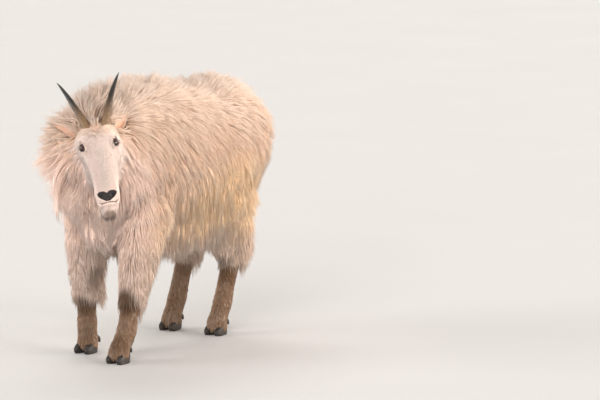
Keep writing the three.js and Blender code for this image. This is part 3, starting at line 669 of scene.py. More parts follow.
def place_on_forms(points):
    """For each form, how far along and around it each point's nearest place is, and the distance to it."""
    places = {}
    for name, form in FORMS.items():
        samples, t, angle = form.grid(FORM_SAMPLES, FORM_SAMPLES)
        samples = from_head(samples) if name in ("head", "jaw") else samples
        index, distance = nearest(tree_of(samples), points)
        places[name] = (t[index], angle[index], distance)
    return places


places = place_on_forms(skin_points)
form_names = list(places)
RIGHT_MANE = 1.12


# Coat fields: for each form the lie of the hair, its depth and its length
def coat_depth(rows, t, angle, top, left, under, right, right_share=1.0):
    """Depth of the coat round a section, from the columns for its four sides."""
    up = np.sin(angle)
    side = np.where(np.cos(angle) > 0, between(rows, left, t), right_share * between(rows, right, t))
    other = np.where(up > 0, between(rows, top, t), between(rows, under, t))
    return side + (other - side) * up ** 2


def lie_by_height(up, side, heights, outward, rearward, upward):
    """A lie read from how high on the section a point is."""
    return np.column_stack([
        side * np.interp(up, heights, outward),
        np.interp(up, heights, rearward),
        np.interp(up, heights, upward),
    ])


def trunk_field(points, t, angle):
    up, side = np.sin(angle), np.sign(np.cos(angle))
    lie = lie_by_height(
        up, side, [-1, -0.3, 0.1, 0.5, 0.8, 0.97, 1],
        [0.1, 0.0, 0.0, 0.15, 0.45, 0.15, 0],
        [0.12, 0.18, 0.22, 0.34, 0.64, 0.9, 1],
        [-1, -1, -1, -1, -0.7, 0.1, 0.25],
    )
    rump = smoothstep(0.72, 0.94, t)
    above = rump * smoothstep(0, 0.6, up)
    rump = rump[:, None]
    lie = lie * (1 - rump) + rump * (lie * [1.5, 0.6, 0.4] + [0, 0, -1.1])
    length = np.interp(up, [-1, -0.4, 0.2, 0.7, 1], [118, 138, 144, 128, 108])
    return lie, coat_depth(TRUNK_ROWS, t, angle, 4, 5, 6, 5) * (1 - 0.2 * above), length * (1 + 0.3 * above)


def neck_field(points, t, angle):
    up, side = np.sin(angle), np.sign(np.cos(angle))
    lie = lie_by_height(
        up, side, [-1, -0.3, 0.2, 0.6, 0.85, 1],
        [0.0, 0.1, 0.3, 0.55, 0.3, 0.05],
        [0.1, 0.25, 0.4, 0.6, 0.8, 0.8],
        [-1, -1, -0.9, -0.5, 0.1, 0.5],
    )
    front = (1 - smoothstep(0.08, 0.4, t))[:, None]
    lie = lie + front * np.column_stack([0.7 * side, 0.2 + 0 * t, -0.4 * smoothstep(0.6, 1, up)])
    crest = 1 - 0.42 * smoothstep(0.3, 0.8, up) * (1 - smoothstep(0.2, 0.5, t))
    length = np.interp(up, [-1, 0, 0.7, 1], [118, 125, 118, 108])
    return lie, coat_depth(NECK_ROWS, t, angle, 6, 7, 8, 9, RIGHT_MANE) * crest, length


def head_field(points, t, angle):
    """Face hair runs out from a whorl between the eyes, down to the nose and back over the cheeks."""
    local = to_head(points)
    x, y, z = local.T
    rise = (z - WHORL_HEIGHT) / 22
    away = np.column_stack([x / 34, 0.15 + 0 * x, rise])
    away[:, 0] *= 1 / (1 + np.maximum(-rise, 0))
    back = np.column_stack([0.15 * np.sign(x), 0 * x + 0.9, 0 * x - 0.45])
    cheek = smoothstep(30, 62, y)[:, None]
    lie = unit(away) * (1 - cheek) + back * cheek
    rear = smoothstep(72, 120, y)
    depth = 2.6 + 3 * smoothstep(20, 60, y) + 36 * rear
    length = 9 + 10 * smoothstep(25, 70, y) + 62 * rear
    muzzle = smoothstep(-120, -170, z)
    forelock = smoothstep(34, 56, z) * smoothstep(30, 12, np.abs(x))
    depth = depth * (1 - 0.3 * muzzle) + 9 * forelock
    length = length * (1 - 0.25 * muzzle) + 16 * forelock
    return lie @ HEAD.T, depth, length


def jaw_field(points, t, angle):
    """The beard grows under the jaw and hangs."""
    local = to_head(points)
    under = smoothstep(-0.2, 0.7, -np.sin(angle)) * smoothstep(0.06, 0.22, t) * (1 - smoothstep(0.75, 1, t))
    down = np.tile(DOWN, (len(t), 1))
    back = np.column_stack([0.1 * np.sign(local[:, 0]), 0 * t + 0.8, 0 * t - 0.5]) @ HEAD.T
    lie = back * (1 - under[:, None]) + down * under[:, None]
    depth = 3 + 6 * under + 22 * smoothstep(0.6, 1, t)
    length = 10 + 24 * under + 40 * smoothstep(0.6, 1, t)
    return lie, depth, length


def tail_field(points, t, angle):
    lie = np.tile([0, 0.25, -1.0], (len(t), 1))
    return lie, 14 + 6 * t, 78 + 0 * t


def leg_field(leg):
    def field(points, t, angle):
        height = points[:, 2] + 10 * waves(points, 45, 14)
        outside = np.cos(angle) * np.sign(leg["x"])
        rear = smoothstep(-0.2, 0.8, -np.sin(angle))
        long = smoothstep(leg["chaps"] - 6, leg["chaps"] + 40, height)
        lie = np.column_stack([0.06 * np.cos(angle), 0.1 + 0 * t, -1 + 0 * t])
        depth = 8 + long * (8 + 26 * rear + 8 * smoothstep(0, 1, outside))
        length = 24 + long * (58 + 34 * rear)
        cuff = 1 - smoothstep(CORONET + 4, CORONET + 30, points[:, 2])
        return lie, depth + 3 * cuff, length + 6 * cuff
    return field


FIELDS = {
    "trunk": trunk_field, "neck": neck_field, "head": head_field, "jaw": jaw_field, "tail": tail_field,
    **{name: leg_field(leg) for name, leg in LEGS.items()},
}
BLEND_REACH = {"trunk": 16, "neck": 16, "head": 6, "jaw": 6, "tail": 10}


def blended_fields(points, places):
    lie = np.zeros((len(points), 3))
    depth, length, total = (np.zeros(len(points)) for _ in range(3))
    nearest_form = np.full(len(points), -1)
    best = np.full(len(points), 1e9)
    for order, (name, (t, angle, distance)) in enumerate(places.items()):
        weight = np.exp(-distance / BLEND_REACH.get(name, 10)) + 1e-12
        form_lie, form_depth, form_length = FIELDS[name](points, t, angle)
        lie += weight[:, None] * unit(form_lie)
        depth += weight * form_depth
        length += weight * form_length
        total += weight
        closer = distance < best
        nearest_form[closer] = order
        best[closer] = distance[closer]
    return lie / total[:, None], depth / total, length / total, nearest_form


lie, depth, length, home = blended_fields(skin_points, places)
# Ears take over near their own line
ear_side = np.zeros(len(skin_points))
ear_inside = np.zeros(len(skin_points))
for side in (1, -1):
    share, distance, _ = ear_place(skin_points, side)
    on_ear = (share > 0.16) & (distance < 26)
    root, tip, _ = ear_line(side)
    lie[on_ear] = unit(tip - root) @ HEAD.T + 0.15 * DOWN
    outer = smoothstep(0.5, 0.9, share[on_ear])
    depth[on_ear] = 1.6 + 1.8 * outer
    length[on_ear] = 8 + 5 * outer
    middle = from_head(root + np.clip(share, 0, 1)[:, None] * (tip - root))
    facing = (unit(middle - skin_points) * skin_normals).sum(axis=1)
    ear_inside = np.where(on_ear, smoothstep(0.0, 0.4, facing) * (1 - smoothstep(0.8, 1, share)), ear_inside)
    ear_side[on_ear] = side

def home_is(*names):
    """Which points of the skin are nearest to the forms named."""
    return np.isin(home, [form_names.index(name) for name in names])


head_local = to_head(skin_points)
on_head = home_is("head", "jaw")
cover = np.where(on_head, nose_cover(head_local), -50)
lip_distance = np.where(on_head, line_distance(head_local, mouth_line), 50)
nose_mask = smoothstep(-1.6, 1.2, cover)
mouth_mask = 1 - smoothstep(3.4, 4.8, lip_distance)


def eye_distance(points):
    """Distance past the edge of the lids, in millimetres, from the nearer eye."""
    best = np.full(len(points), 99.0)
    for side in (1, -1):
        _, radius, _, past = around_eye(points, side)
        best = np.where(radius < 30, np.minimum(best, past * EYE_RADIUS), best)
    return best


past_lid = eye_distance(head_local)
length *= 0.35 + 0.65 * smoothstep(3, 15, np.minimum(lip_distance, past_lid + 1))

lie = unit(lie - skin_normals * (lie * skin_normals).sum(axis=1)[:, None])
swing = 0.15 * waves(skin_points, 190, 3) + 0.07 * waves(skin_points, 70, 4)
swing *= smoothstep(15, 60, length)
crossing = np.cross(skin_normals, lie)
lie = unit(lie * np.cos(swing)[:, None] + crossing * np.sin(swing)[:, None])
skin_tree = tree_of(skin_points)

# Roots of the tufts, spread evenly over the skin by area and density
def skin_triangles():
    skin.data.calc_loop_triangles()
    corners = np.zeros(len(skin.data.loop_triangles) * 3, int)
    skin.data.loop_triangles.foreach_get("vertices", corners)
    return corners.reshape(-1, 3)


triangles = skin_triangles()
corner_points = skin_points[triangles]
edges = corner_points[:, 1:] - corner_points[:, :1]
triangle_areas = np.linalg.norm(np.cross(edges[:, 0], edges[:, 1]), axis=1) / 2


def roots(density):
    """Even roots over the skin: density is tufts for each square metre, given at the points of the skin."""
    expected = triangle_areas * MM ** 2 * density[triangles].mean(axis=1)
    running = np.cumsum(expected)
    count = int(running[-1])
    marks = np.arange(count) + random.uniform(0, 1, count)
    chosen = np.minimum(np.searchsorted(running, marks), len(triangles) - 1)
    weights = random.dirichlet((1, 1, 1), count)
    at = (corner_points[chosen] * weights[:, :, None]).sum(axis=1)
    return at, triangles[chosen, 0]


def strands(at, vertex, long, tip_height, steps, sink):
    """Runs strands over the skin along its lie up to their tip height. Under the body they fall free."""
    count = len(at)
    on_ear = ear_side[vertex] != 0
    points = np.zeros((count, steps + 1, 3))
    outs = np.zeros((count, steps + 1, 3))
    here = at - skin_normals[vertex] * sink[:, None]
    points[:, 0] = here
    outs[:, 0] = skin_normals[vertex]
    reach = np.sqrt(np.maximum(long ** 2 - tip_height ** 2, (0.4 * long) ** 2)) / steps
    for step in range(1, steps + 1):
        out = skin_normals[vertex]
        free = smoothstep(0.0, 0.55, -out[:, 2])[:, None]
        way = unit(lie[vertex] * (1 - free) + DOWN * free)
        here = here + way * (reach * (1 + 0.35 * free[:, 0]))[:, None]
        vertex = np.where(on_ear, vertex, nearest(skin_tree, here)[0])
        out = skin_normals[vertex]
        free = smoothstep(0.0, 0.55, -out[:, 2])
        height = ((here - skin_points[vertex]) * out).sum(axis=1)
        target = tip_height * (step / steps) ** 0.72
        lift = (target - height) * (1 - free)
        lift = np.where(free > 0, np.maximum(lift, 0), lift)
        here = here + out * lift[:, None]
        here[:, 2] = np.maximum(here[:, 2], FLOOR_CLEARANCE)
        points[:, step] = here
        outs[:, step] = out
    return points, outs


def clump(points, guide_share, strength, free_share, seed):
    """Draws the tips of neighbouring strands together into locks."""
    draw = np.random.default_rng(seed)
    count = len(points)
    guides = draw.choice(count, max(1, int(count * guide_share)), replace=False)
    guide_of, _ = nearest(tree_of(points[guides, 0]), points[:, 0])
    leader = guides[guide_of]
    run = np.linspace(0, 1, points.shape[1]) ** 1.4
    pull = strength * draw.uniform(0.7, 1.15, count)
    pull[draw.uniform(size=count) < free_share] *= 0.25
    return points + (points[leader] - points) * (pull[:, None] * run[None, :])[:, :, None], leader


# Tufts: width at each station by the number of steps, size of the patch, corners of the section and flatness
SHARES = {2: [0.85, 1, 0], 3: [0.8, 1, 0.7, 0], 6: [0.8, 1, 1, 0.9, 0.75, 0.5, 0]}
PATCH = 0.003
CORNERS = np.array([[1.0, -0.6], [0.0, 1.0], [-1.0, -0.6]])
FLATNESS = 0.4


def tuft_faces(steps):
    """Faces of one tuft and the place of each of their corners: around it from 0 to 3 and along it to 1."""
    quads, ends, quad_uv, end_uv = [], [], [], []
    for step in range(steps):
        low, high = step / steps, (step + 1) / steps
        for side in range(3):
            a, b = step * 3 + side, step * 3 + (side + 1) % 3
            if step < steps - 1:
                quads.append([a, b, b + 3, a + 3])
                quad_uv += [[side, low], [side + 1, low], [side + 1, high], [side, high]]
            else:
                ends.append([a, b, steps * 3])
                end_uv += [[side, low], [side + 1, low], [side + 0.5, 1]]
    ends.append([2, 1, 0])
    end_uv += [[0, -0.1], [1.5, -0.1], [3, -0.02]]
    corners = np.concatenate([np.array(quads).ravel(), np.array(ends).ravel()])
    return corners, np.array([4] * len(quads) + [3] * len(ends)), np.array(quad_uv + end_uv, float)


def tuft_mesh(name, points, outs, width, uv, values):
    """Tapered three-sided tufts along strands, each unwrapped to a small patch at the place of its root."""
    count, stations = points.shape[:2]
    steps = stations - 1
    along = unit(np.gradient(points, axis=1))
    across = unit(np.cross(along, outs))
    rise = np.cross(across, along)
    half = (width[:, None] / 2 * np.array(SHARES[steps])[None, :])[:, :steps, None, None]
    aside = CORNERS[None, None, :, :1] * half
    lift = CORNERS[None, None, :, 1:] * half * 2 * FLATNESS
    rings = points[:, :steps, None] + across[:, :steps, None] * aside + rise[:, :steps, None] * lift
    verts = np.concatenate([rings.reshape(count, steps * 3, 3), points[:, steps:]], axis=1)
    each = steps * 3 + 1
    loops, sizes, corner_uv = tuft_faces(steps)
    corner_uv = (corner_uv / [3, 1] - 0.5) * PATCH

    def repeated(numbers, stride):
        """The numbers of one tuft for all of them, moved on by a stride for each."""
        return (numbers[None, :] + (np.arange(count) * stride)[:, None]).ravel().astype(np.int32)

    mesh = bpy.data.meshes.new(name)
    mesh.vertices.add(count * each)
    mesh.vertices.foreach_set("co", to_row(verts.reshape(-1, 3)).astype(np.float32).ravel())
    mesh.loops.add(count * len(loops))
    mesh.loops.foreach_set("vertex_index", repeated(loops, each))
    mesh.polygons.add(count * len(sizes))
    starts = np.concatenate([[0], np.cumsum(sizes)[:-1]])
    mesh.polygons.foreach_set("loop_start", repeated(starts, len(loops)))
    mesh.update(calc_edges=True)
    shade_smooth(mesh)
    spread = np.clip(uv, 2 * PATCH, 1 - 2 * PATCH)
    mesh.uv_layers.new(name="OFBake").data.foreach_set(
        "uv", (corner_uv[None] + spread[:, None]).astype(np.float32).ravel())
    thing = placed(name, mesh)
    run = np.append(np.repeat(np.arange(steps) / steps, 3), 1.0)
    store(thing, "along", np.tile(run, count))
    for label, value in values.items():
        store(thing, label, np.repeat(value, each))
    shade = np.concatenate([np.repeat(outs[:, :steps], 3, axis=1), outs[:, steps:]], axis=1)
    store(thing, "out", shade.reshape(-1, 3))
    return thing


# Node graphs
def linear(colour):
    """A screen colour as linear light."""
    return tuple(c / 12.92 if c <= 0.04045 else ((c + 0.055) / 1.055) ** 2.4 for c in colour)


class Value:
    """The output of a node, which can be added to, taken from and multiplied."""

    def __init__(self, graph, socket):
        self.graph, self.socket = graph, socket

    def __add__(self, other):
        return self.graph.math("ADD", self, other)

    def __sub__(self, other):
        return self.graph.math("SUBTRACT", self, other)

    def __rsub__(self, other):
        return self.graph.math("SUBTRACT", other, self)

    def __mul__(self, other):
        return self.graph.math("MULTIPLY", self, other)


class Graph:
    """A material with one shader. Values that are the same all over are set on its own sockets."""

    def __init__(self, name, **fixed):
        self.material = bpy.data.materials.new(name)
        self.material.use_nodes = True
        self.tree = self.material.node_tree
        self.shader = next(node for node in self.tree.nodes if node.type == "BSDF_PRINCIPLED")
        self.shade(**fixed)

    def shade(self, **sockets):
        """Sets the sockets of the shader, named with _ for a space."""
        for key, value in sockets.items():
            self.put(self.shader.inputs[key.replace("_", " ")], value)
        return self.material

    def put(self, socket, value):
        """Links or sets a socket. Colours are given as on a screen."""
        if isinstance(value, Value):
            self.tree.links.new(value.socket, socket)
        elif socket.type == "RGBA":
            socket.default_value = (*linear(value), 1)
        else:
            socket.default_value = value

    def node(self, kind, inputs, output=0, **settings):
        """Adds a node with these inputs, by name or number, and gives one of its outputs."""
        made = self.tree.nodes.new("ShaderNode" + kind)
        for key, value in settings.items():
            setattr(made, key, value)
        for key, value in inputs.items():
            self.put(made.inputs[key], value)
        return Value(self, made.outputs[output])

    def math(self, operation, first, second=0.0):
        return self.node("Math", {0: first, 1: second}, operation=operation)

    def ramp(self, value, low, high, start=0.0, end=1.0):
        inputs = dict(enumerate((value, low, high, start, end)))
        return self.node("MapRange", inputs, interpolation_type="SMOOTHSTEP")

    def mix(self, share, first, second, blend="MIX"):
        inputs = {"Factor": share, 6: first, 7: second}
        return self.node("Mix", inputs, 2, data_type="RGBA", blend_type=blend)

    def noise(self, vector, scale, detail, stretch=None):
        if stretch:
            vector = self.node("Mapping", {"Vector": vector, "Scale": stretch})
        return self.node("TexNoise", {"Vector": vector, "Scale": scale, "Detail": detail})

    def share(self, name, output="Fac"):
        """What is stored at each point under a name."""
        return self.node("Attribute", {}, output, attribute_name=name)

    def place(self):
        return self.node("TexCoord", {}, "Object")

    def split(self, vector):
        first = self.node("SeparateXYZ", {0: vector})
        return [Value(self, socket) for socket in first.socket.node.outputs]

    def near(self, vector, centre, radii):
        """1 at a centre, falling softly to 0 at the radii."""
        shifted = self.node("VectorMath", {0: vector, 1: centre}, operation="SUBTRACT")
        scaled = self.node("VectorMath", {0: shifted, 1: radii}, operation="DIVIDE")
        return self.ramp(self.node("VectorMath", {0: scaled}, "Value", operation="LENGTH"), 1.0, 0.35)

    def soft_normal(self, share):
        """The surface's own normal, turned by a share towards the outward direction of the coat."""
        own = self.node("NewGeometry", {}, "Normal")
        inputs = {"Factor": share, 4: own, 5: self.share("out", "Vector")}
        blend = self.node("Mix", inputs, 1, data_type="VECTOR")
        return self.node("VectorMath", {0: blend}, operation="NORMALIZE")

    def bump(self, height, distance):
        return self.node("Bump", {"Strength": 0.5, "Distance": distance, "Height": height})


# Markings shared by skin and coat: colour by place on the animal, with painted warm light and painted shade
# in it
BACK = (0.89, 0.81, 0.755)
FLANK = (0.90, 0.785, 0.70)
# Painted warm light, as from a low sun, low on the flank and in a patch on the rear flank
WARM_LIGHT = (0.99, 0.86, 0.70)
CHEST = (0.99, 0.89, 0.84)
FACE = (0.98, 0.905, 0.875)
BRIDGE = (0.90, 0.85, 0.82)
# Darker tone of the long hair low down: partly its own tone, partly painted shade
CHAPS = (0.83, 0.75, 0.70)
LEG = (0.60, 0.49, 0.40)
STAIN = (0.40, 0.28, 0.17)
# Painted shade under the chin and jaw, over the beard
BEARD_SHADE = (0.74, 0.63, 0.57)
EAR = (0.90, 0.75, 0.66)
RIM = (0.16, 0.10, 0.09)

# Stains on the legs: centre in the drawing frame, radii in metres, strength
STAINS = [
    ((95, -322, 192), (0.06, 0.06, 0.06), 1.0),
    ((-52, -270, 250), (0.035, 0.05, 0.06), 0.55),
    ((-95, -295, 160), (0.05, 0.05, 0.05), 0.7),
    ((95, -365, 60), (0.05, 0.05, 0.04), 0.6),
    ((90, 290, 200), (0.05, 0.06, 0.08), 0.8),
]
# Centre and radii of a painted pool of warm light on the rear flank
GLOW_AT = (180, 170, 470)
GLOW_RADII = (0.32, 0.3, 0.2)
RELIEF = 0.0012


def row_point(at):
    return tuple(to_row(np.array(at)))


def markings(graph):
    """Colour of the animal at each place, and the place. Heights and lengths in it are in metres."""
    where = graph.place()
    _, y, z = graph.split(where)
    height = z + (graph.noise(where, 9.0, 3.0) - 0.5) * 0.22
    colour = graph.mix(graph.ramp(height, 0.62, 0.86), FLANK, BACK)
    # Painted warm light, lower down the flank
    colour = graph.mix(graph.ramp(height, 0.60, 0.42) * 0.4, colour, WARM_LIGHT)
    colour = graph.mix(graph.ramp(y, -0.20, -0.34) * graph.ramp(height, 0.75, 0.62), colour, CHEST)
    # Painted pool of warm light on the rear flank
    colour = graph.mix(graph.near(where, row_point(GLOW_AT), GLOW_RADII) * 0.9, colour, WARM_LIGHT)
    # Darker towards the bottom of the long hair: partly its own tone, partly painted shade
    colour = graph.mix(graph.ramp(height, 0.40, 0.30) * 0.7, colour, CHAPS)
    colour = graph.mix(graph.share("shank"), colour, LEG)
    blots = graph.ramp(graph.noise(where, 26.0, 3.0), 0.15, 0.42)
    for centre, radii, strength in STAINS:
        spot = graph.near(where, row_point(centre), radii) * blots
        colour = graph.mix(spot * strength, colour, STAIN)
    # The beard share paints shade under the chin and jaw
    for name, strength, tone in (("face", 1.0, FACE), ("bridge", 0.6, BRIDGE), ("beard", 0.8, BEARD_SHADE)):
        colour = graph.mix(graph.share(name) * strength, colour, tone)
    return colour, where


def coat_material(name, root_shade, softness, roughness, sheen):
    graph = Graph(name, Roughness=roughness, Sheen_Weight=sheen, Sheen_Roughness=0.5, Specular_IOR_Level=0.25)
    colour, _ = markings(graph)
    # Painted shade: each tuft darker towards its root, where the coat shades itself
    deep = graph.mix(1.0, colour, root_shade, "MULTIPLY")
    colour = graph.mix(graph.ramp(graph.share("along"), 0.0, 0.6), deep, colour)
    dark = graph.mix(1.0, colour, (0.86, 0.76, 0.64), "MULTIPLY")
    colour = graph.mix(graph.ramp(graph.share("tuft"), 0.55, 1.0) * 0.3, colour, dark)
    colour = graph.mix(graph.ramp(graph.share("lock"), 0.4, 1.0) * 0.08, colour, (0.99, 0.97, 0.94))
    return graph.shade(Base_Color=colour, Normal=graph.soft_normal(softness))


def skin_material():
    """Short-haired skin with fine hair relief. The nose pad is dark, fine-grained and a little moist."""
    graph = Graph("Skin", Sheen_Weight=0.2, Specular_IOR_Level=0.3)
    colour, where = markings(graph)
    # Painted shade under the hair: the skin is darker where the coat covers it, less on the face
    hair_shade = 0.8 - graph.share("face") * 0.35
    colour = graph.mix(hair_shade, colour, graph.mix(1.0, colour, (0.88, 0.80, 0.74), "MULTIPLY"))
    hairs = graph.noise(where, 520.0, 3.0)
    colour = graph.mix(graph.ramp(hairs, 0.45, 0.7) * 0.25, colour, FACE)
    colour = graph.mix(graph.share("ear"), colour, EAR)
    colour = graph.mix(graph.share("rim"), colour, RIM)
    pad = graph.ramp(graph.share("nose"), 0.35, 0.65)
    leather = graph.mix(graph.noise(where, 120.0, 3.0), (0.07, 0.055, 0.055), (0.16, 0.12, 0.115))
    leather = graph.mix(graph.share("nostril"), leather, (0.03, 0.02, 0.02))
    cells = graph.node("TexVoronoi", {"Vector": where, "Scale": 560}, "Distance", feature="DISTANCE_TO_EDGE")
    relief = hairs * (1.0 - pad) + graph.ramp(cells, 0.0, 0.3) * 0.5 * pad
    return graph.shade(
        Base_Color=graph.mix(pad, colour, leather), Roughness=graph.ramp(pad, 0.0, 1.0, 0.7, 0.34),
        Normal=graph.bump(relief, RELIEF))


def horn_material():
    """Olive brown and ringed at the base, near black and smooth at the tip."""
    graph = Graph("Horn", Specular_IOR_Level=0.5, Coat_Weight=0.15, Coat_Roughness=0.3)
    along = graph.share("along")
    streak = graph.share("streak", "Vector")
    fibre = graph.noise(streak, 5.0, 4.0, stretch=(9, 9, 1.2))
    ring = graph.noise(streak, 3.0, 3.0, stretch=(0.6, 0.6, 26))
    base = graph.mix(fibre, (0.60, 0.47, 0.33), (0.40, 0.31, 0.22))
    base = graph.mix(graph.ramp(ring, 0.45, 0.65) * 0.5, base, (0.34, 0.27, 0.19))
    dark = graph.mix(fibre, (0.13, 0.11, 0.10), (0.07, 0.06, 0.06))
    wander = along + (fibre - 0.5) * 0.18
    return graph.shade(
        Base_Color=graph.mix(graph.ramp(wander, 0.22, 0.58), base, dark),
        Roughness=graph.ramp(along, 0.2, 0.9, 0.52, 0.32), Normal=graph.bump(fibre * 0.5 + ring, RELIEF))


def hoof_material():
    """Dark and banded, with dust."""
    graph = Graph("Hoof", Specular_IOR_Level=0.5)
    where = graph.place()
    bands = graph.noise(where, 6.0, 3.0, stretch=(1, 1, 46))
    dust = graph.noise(where, 60.0, 4.0)
    colour = graph.mix(bands, (0.10, 0.09, 0.09), (0.20, 0.17, 0.15))
    return graph.shade(
        Base_Color=graph.mix(graph.ramp(dust, 0.5, 0.75) * 0.35, colour, (0.42, 0.36, 0.30)),
        Roughness=graph.ramp(dust, 0.3, 0.7, 0.42, 0.7), Normal=graph.bump(bands, 0.001))


def eye_material():
    """Dark reddish brown iris with a level, slot-shaped pupil and a clear, glossy front."""
    graph = Graph("Eye", Roughness=0.2, Coat_Weight=0.5, Coat_Roughness=0.03, Specular_IOR_Level=0.4)
    gaze = graph.share("gaze", "Vector")
    u, v, _ = graph.split(gaze)
    wide, high = (
        graph.math("POWER", graph.math("ABSOLUTE", graph.math("DIVIDE", place, half)), 4.0)
        for place, half in ((u, 0.36), (v, 0.15)))
    radius = graph.math("SQRT", u * u + v * v)
    iris = graph.mix(graph.noise(gaze, 9.0, 4.0), (0.15, 0.06, 0.04), (0.32, 0.13, 0.08))
    iris = graph.mix(graph.ramp(radius, 0.48, 0.66), iris, (0.07, 0.04, 0.035))
    white = graph.mix(graph.ramp(radius, 0.70, 0.80), iris, (0.22, 0.13, 0.11))
    return graph.shade(Base_Color=graph.mix(graph.ramp(wide + high, 1.5, 0.8), white, (0.02, 0.015, 0.02)))


def floor_material():
    graph = Graph("Floor", Roughness=0.85, Specular_IOR_Level=0.2)
    tone = graph.noise(graph.place(), 1.6, 3.0)
    return graph.shade(Base_Color=graph.mix(tone, (0.86, 0.86, 0.86), (0.88, 0.88, 0.88)))


skin_look = skin_material()
horn_look = horn_material()
hoof_look = hoof_material()
eye_look = eye_material()
long_look = coat_material("CoatLong", (0.95, 0.88, 0.80), softness=0.1, roughness=0.75, sheen=0.3)
short_look = coat_material("CoatShort", (0.95, 0.90, 0.86), softness=0.6, roughness=0.8, sheen=0.2)

LID_SHADE = 0.22


def shank_values(points, vertex):
    """1 on the short-haired lower legs, 0 above the ragged edge of the long hair."""
    value = np.zeros(len(points))
    for name, leg in LEGS.items():
        mine = home[vertex] == form_names.index(name)
        edge = leg["chaps"] + 8 * waves(points[mine], 60, 31)
        value[mine] = 1 - smoothstep(-12, 22, points[mine, 2] - edge)
    return value


def face_values(points, on_face):
    """Shares of the face, its bridge and the shade painted on the beard, at points in the drawing frame."""
    x, y, z = to_head(points).T
    face = on_face * (1 - smoothstep(60, 110, y)) * (1 - smoothstep(40, 54, z))
    bridge = on_face * np.exp(-(x / 15) ** 2) * smoothstep(8, -20, z)
    bridge *= smoothstep(-158, -120, z) * smoothstep(40, 20, y)
    under = smoothstep(-150, -196, z) * smoothstep(40, 58, y)
    return face, bridge, on_face * np.maximum(under, smoothstep(-203, -210, z))


def gland_share(points, radii):
    return soft_moves(points, [(GLAND, radii, 1.0)])


def finish_skin():
    """Joins the lids to the skin and stores what its material reads."""
    lids = new_object("lids", *joined([lid_shell(side) for side in (1, -1)]))
    lid_count = len(lids.data.vertices)

    def with_lids(values, on_lids=0.0):
        return np.append(values, np.full(lid_count, on_lids))

    face, bridge, beard = face_values(skin_points, on_head.astype(float))
    lid_rim = np.maximum(1 - smoothstep(3.0, 6.0, eye_distance(to_head(coordinates(lids)))), LID_SHADE)
    rim = with_lids(np.maximum(mouth_mask, 1 - smoothstep(1.5, 5.0, past_lid)), lid_rim)
    gland = with_lids(on_head * gland_share(head_local, GLAND_RADII))
    holes = soft_moves(head_local, [(centre, radii, 1.0) for centre, radii, _ in NOSTRIL_MOVES])
    values = {
        "shank": with_lids(shank_values(skin_points, np.arange(len(skin_points)))),
        # The beard share is painted shade under the jaw
        "beard": with_lids(beard),
        "face": with_lids(face, 1.0),
        "bridge": with_lids(bridge),
        "ear": with_lids(ear_inside),
        "rim": np.maximum(rim, smoothstep(0.4, 0.75, gland)),
        "nose": with_lids(nose_mask),
        "nostril": with_lids(smoothstep(0.35, 0.8, holes) * on_head),
    }
    with bpy.context.temp_override(active_object=skin, object=skin, selected_editable_objects=[skin, lids]):
        bpy.ops.object.join()
    for label, value in values.items():
        store(skin, label, value)
    skin.data.materials.clear()
    shade_smooth(skin.data)
    skin.data.update()
    leg_nodes = [f"{name}_{half}" for name in LEGS for half in ("upper", "lower")]
    fitted(
        skin, skin_look, "coat",
        "torso", "neck", "head", "nose_pad", "tail", "ear_left", "ear_right", *leg_nodes)


# Coat pieces
def in_horns(points, reach=12):
    """Which points of the head are under the foot of a horn."""
    covered = np.zeros(len(points), bool)
    for side in (1, -1):
        base = mirrored(HORN_LINE[0], side)
        way = unit(mirrored(HORN_LINE[1], side) - base)
        offset = points - base
        off_axis = offset - (offset @ way)[:, None] * way
        covered |= (np.linalg.norm(off_axis, axis=1) < reach) & (np.abs(offset @ way) < 50)
    return covered


bare = (nose_mask > 0.3) | (past_lid < 2.5) | (mouth_mask > 0.4)
bare |= in_horns(head_local) | (on_head & (gland_share(head_local, GLAND_RADII) > 0.5))
bare |= (skin_points[:, 2] < CORONET - 6) | ((skin_points[:, 2] < CORONET + 30) & (skin_normals[:, 2] < -0.5))
short = (length < 42) & ~bare
long_hair = ~short & ~bare
ruff = home_is("neck") * (1 - smoothstep(0.1, 0.5, places["neck"][0]))

UNWRAP_SPREAD = 0.012
JAW_START = 0.62
HEAD_SPAN = 0.6
MOUTH_MARGIN = 5.4
EAR_MARGIN = 17


def unwrap_place(vertex, at):
    """Place of each root on the unwrap of its form: along it and around it."""
    u, v = np.zeros(len(vertex)), np.zeros(len(vertex))
    for order, name in enumerate(form_names):
        t, angle, _ = places[name]
        mine = home[vertex] == order
        u[mine] = t[vertex[mine]]
        v[mine] = angle[vertex[mine]] / (2 * np.pi)
    for side in (1, -1):
        mine = ear_side[vertex] == side
        root, tip, opening = ear_line(side)
        u[mine], _, inward = ear_place(at[mine], side)
        across = (to_head(at[mine]) - root) @ np.cross(unit(tip - root), opening)
        v[mine] = np.arctan2(across, inward) / (2 * np.pi)
    on_jaw = home[vertex] == form_names.index("jaw")
    on_face = on_head[vertex] & (ear_side[vertex] == 0)
    u = np.where(on_jaw, JAW_START + (1 - JAW_START) * u, np.where(on_face, HEAD_SPAN * u, u))
    u = u + UNWRAP_SPREAD * waves(at, 9, 21) * 0.5
    v = v + UNWRAP_SPREAD * waves(at, 9, 22) * 0.5
    return np.column_stack([u, v % 1.0])


def halfway(points):
    """The stations of each strand past its root, with the points between them."""
    return np.concatenate([points[:, 1:], (points[:, 1:] + points[:, :-1]) / 2], axis=1)


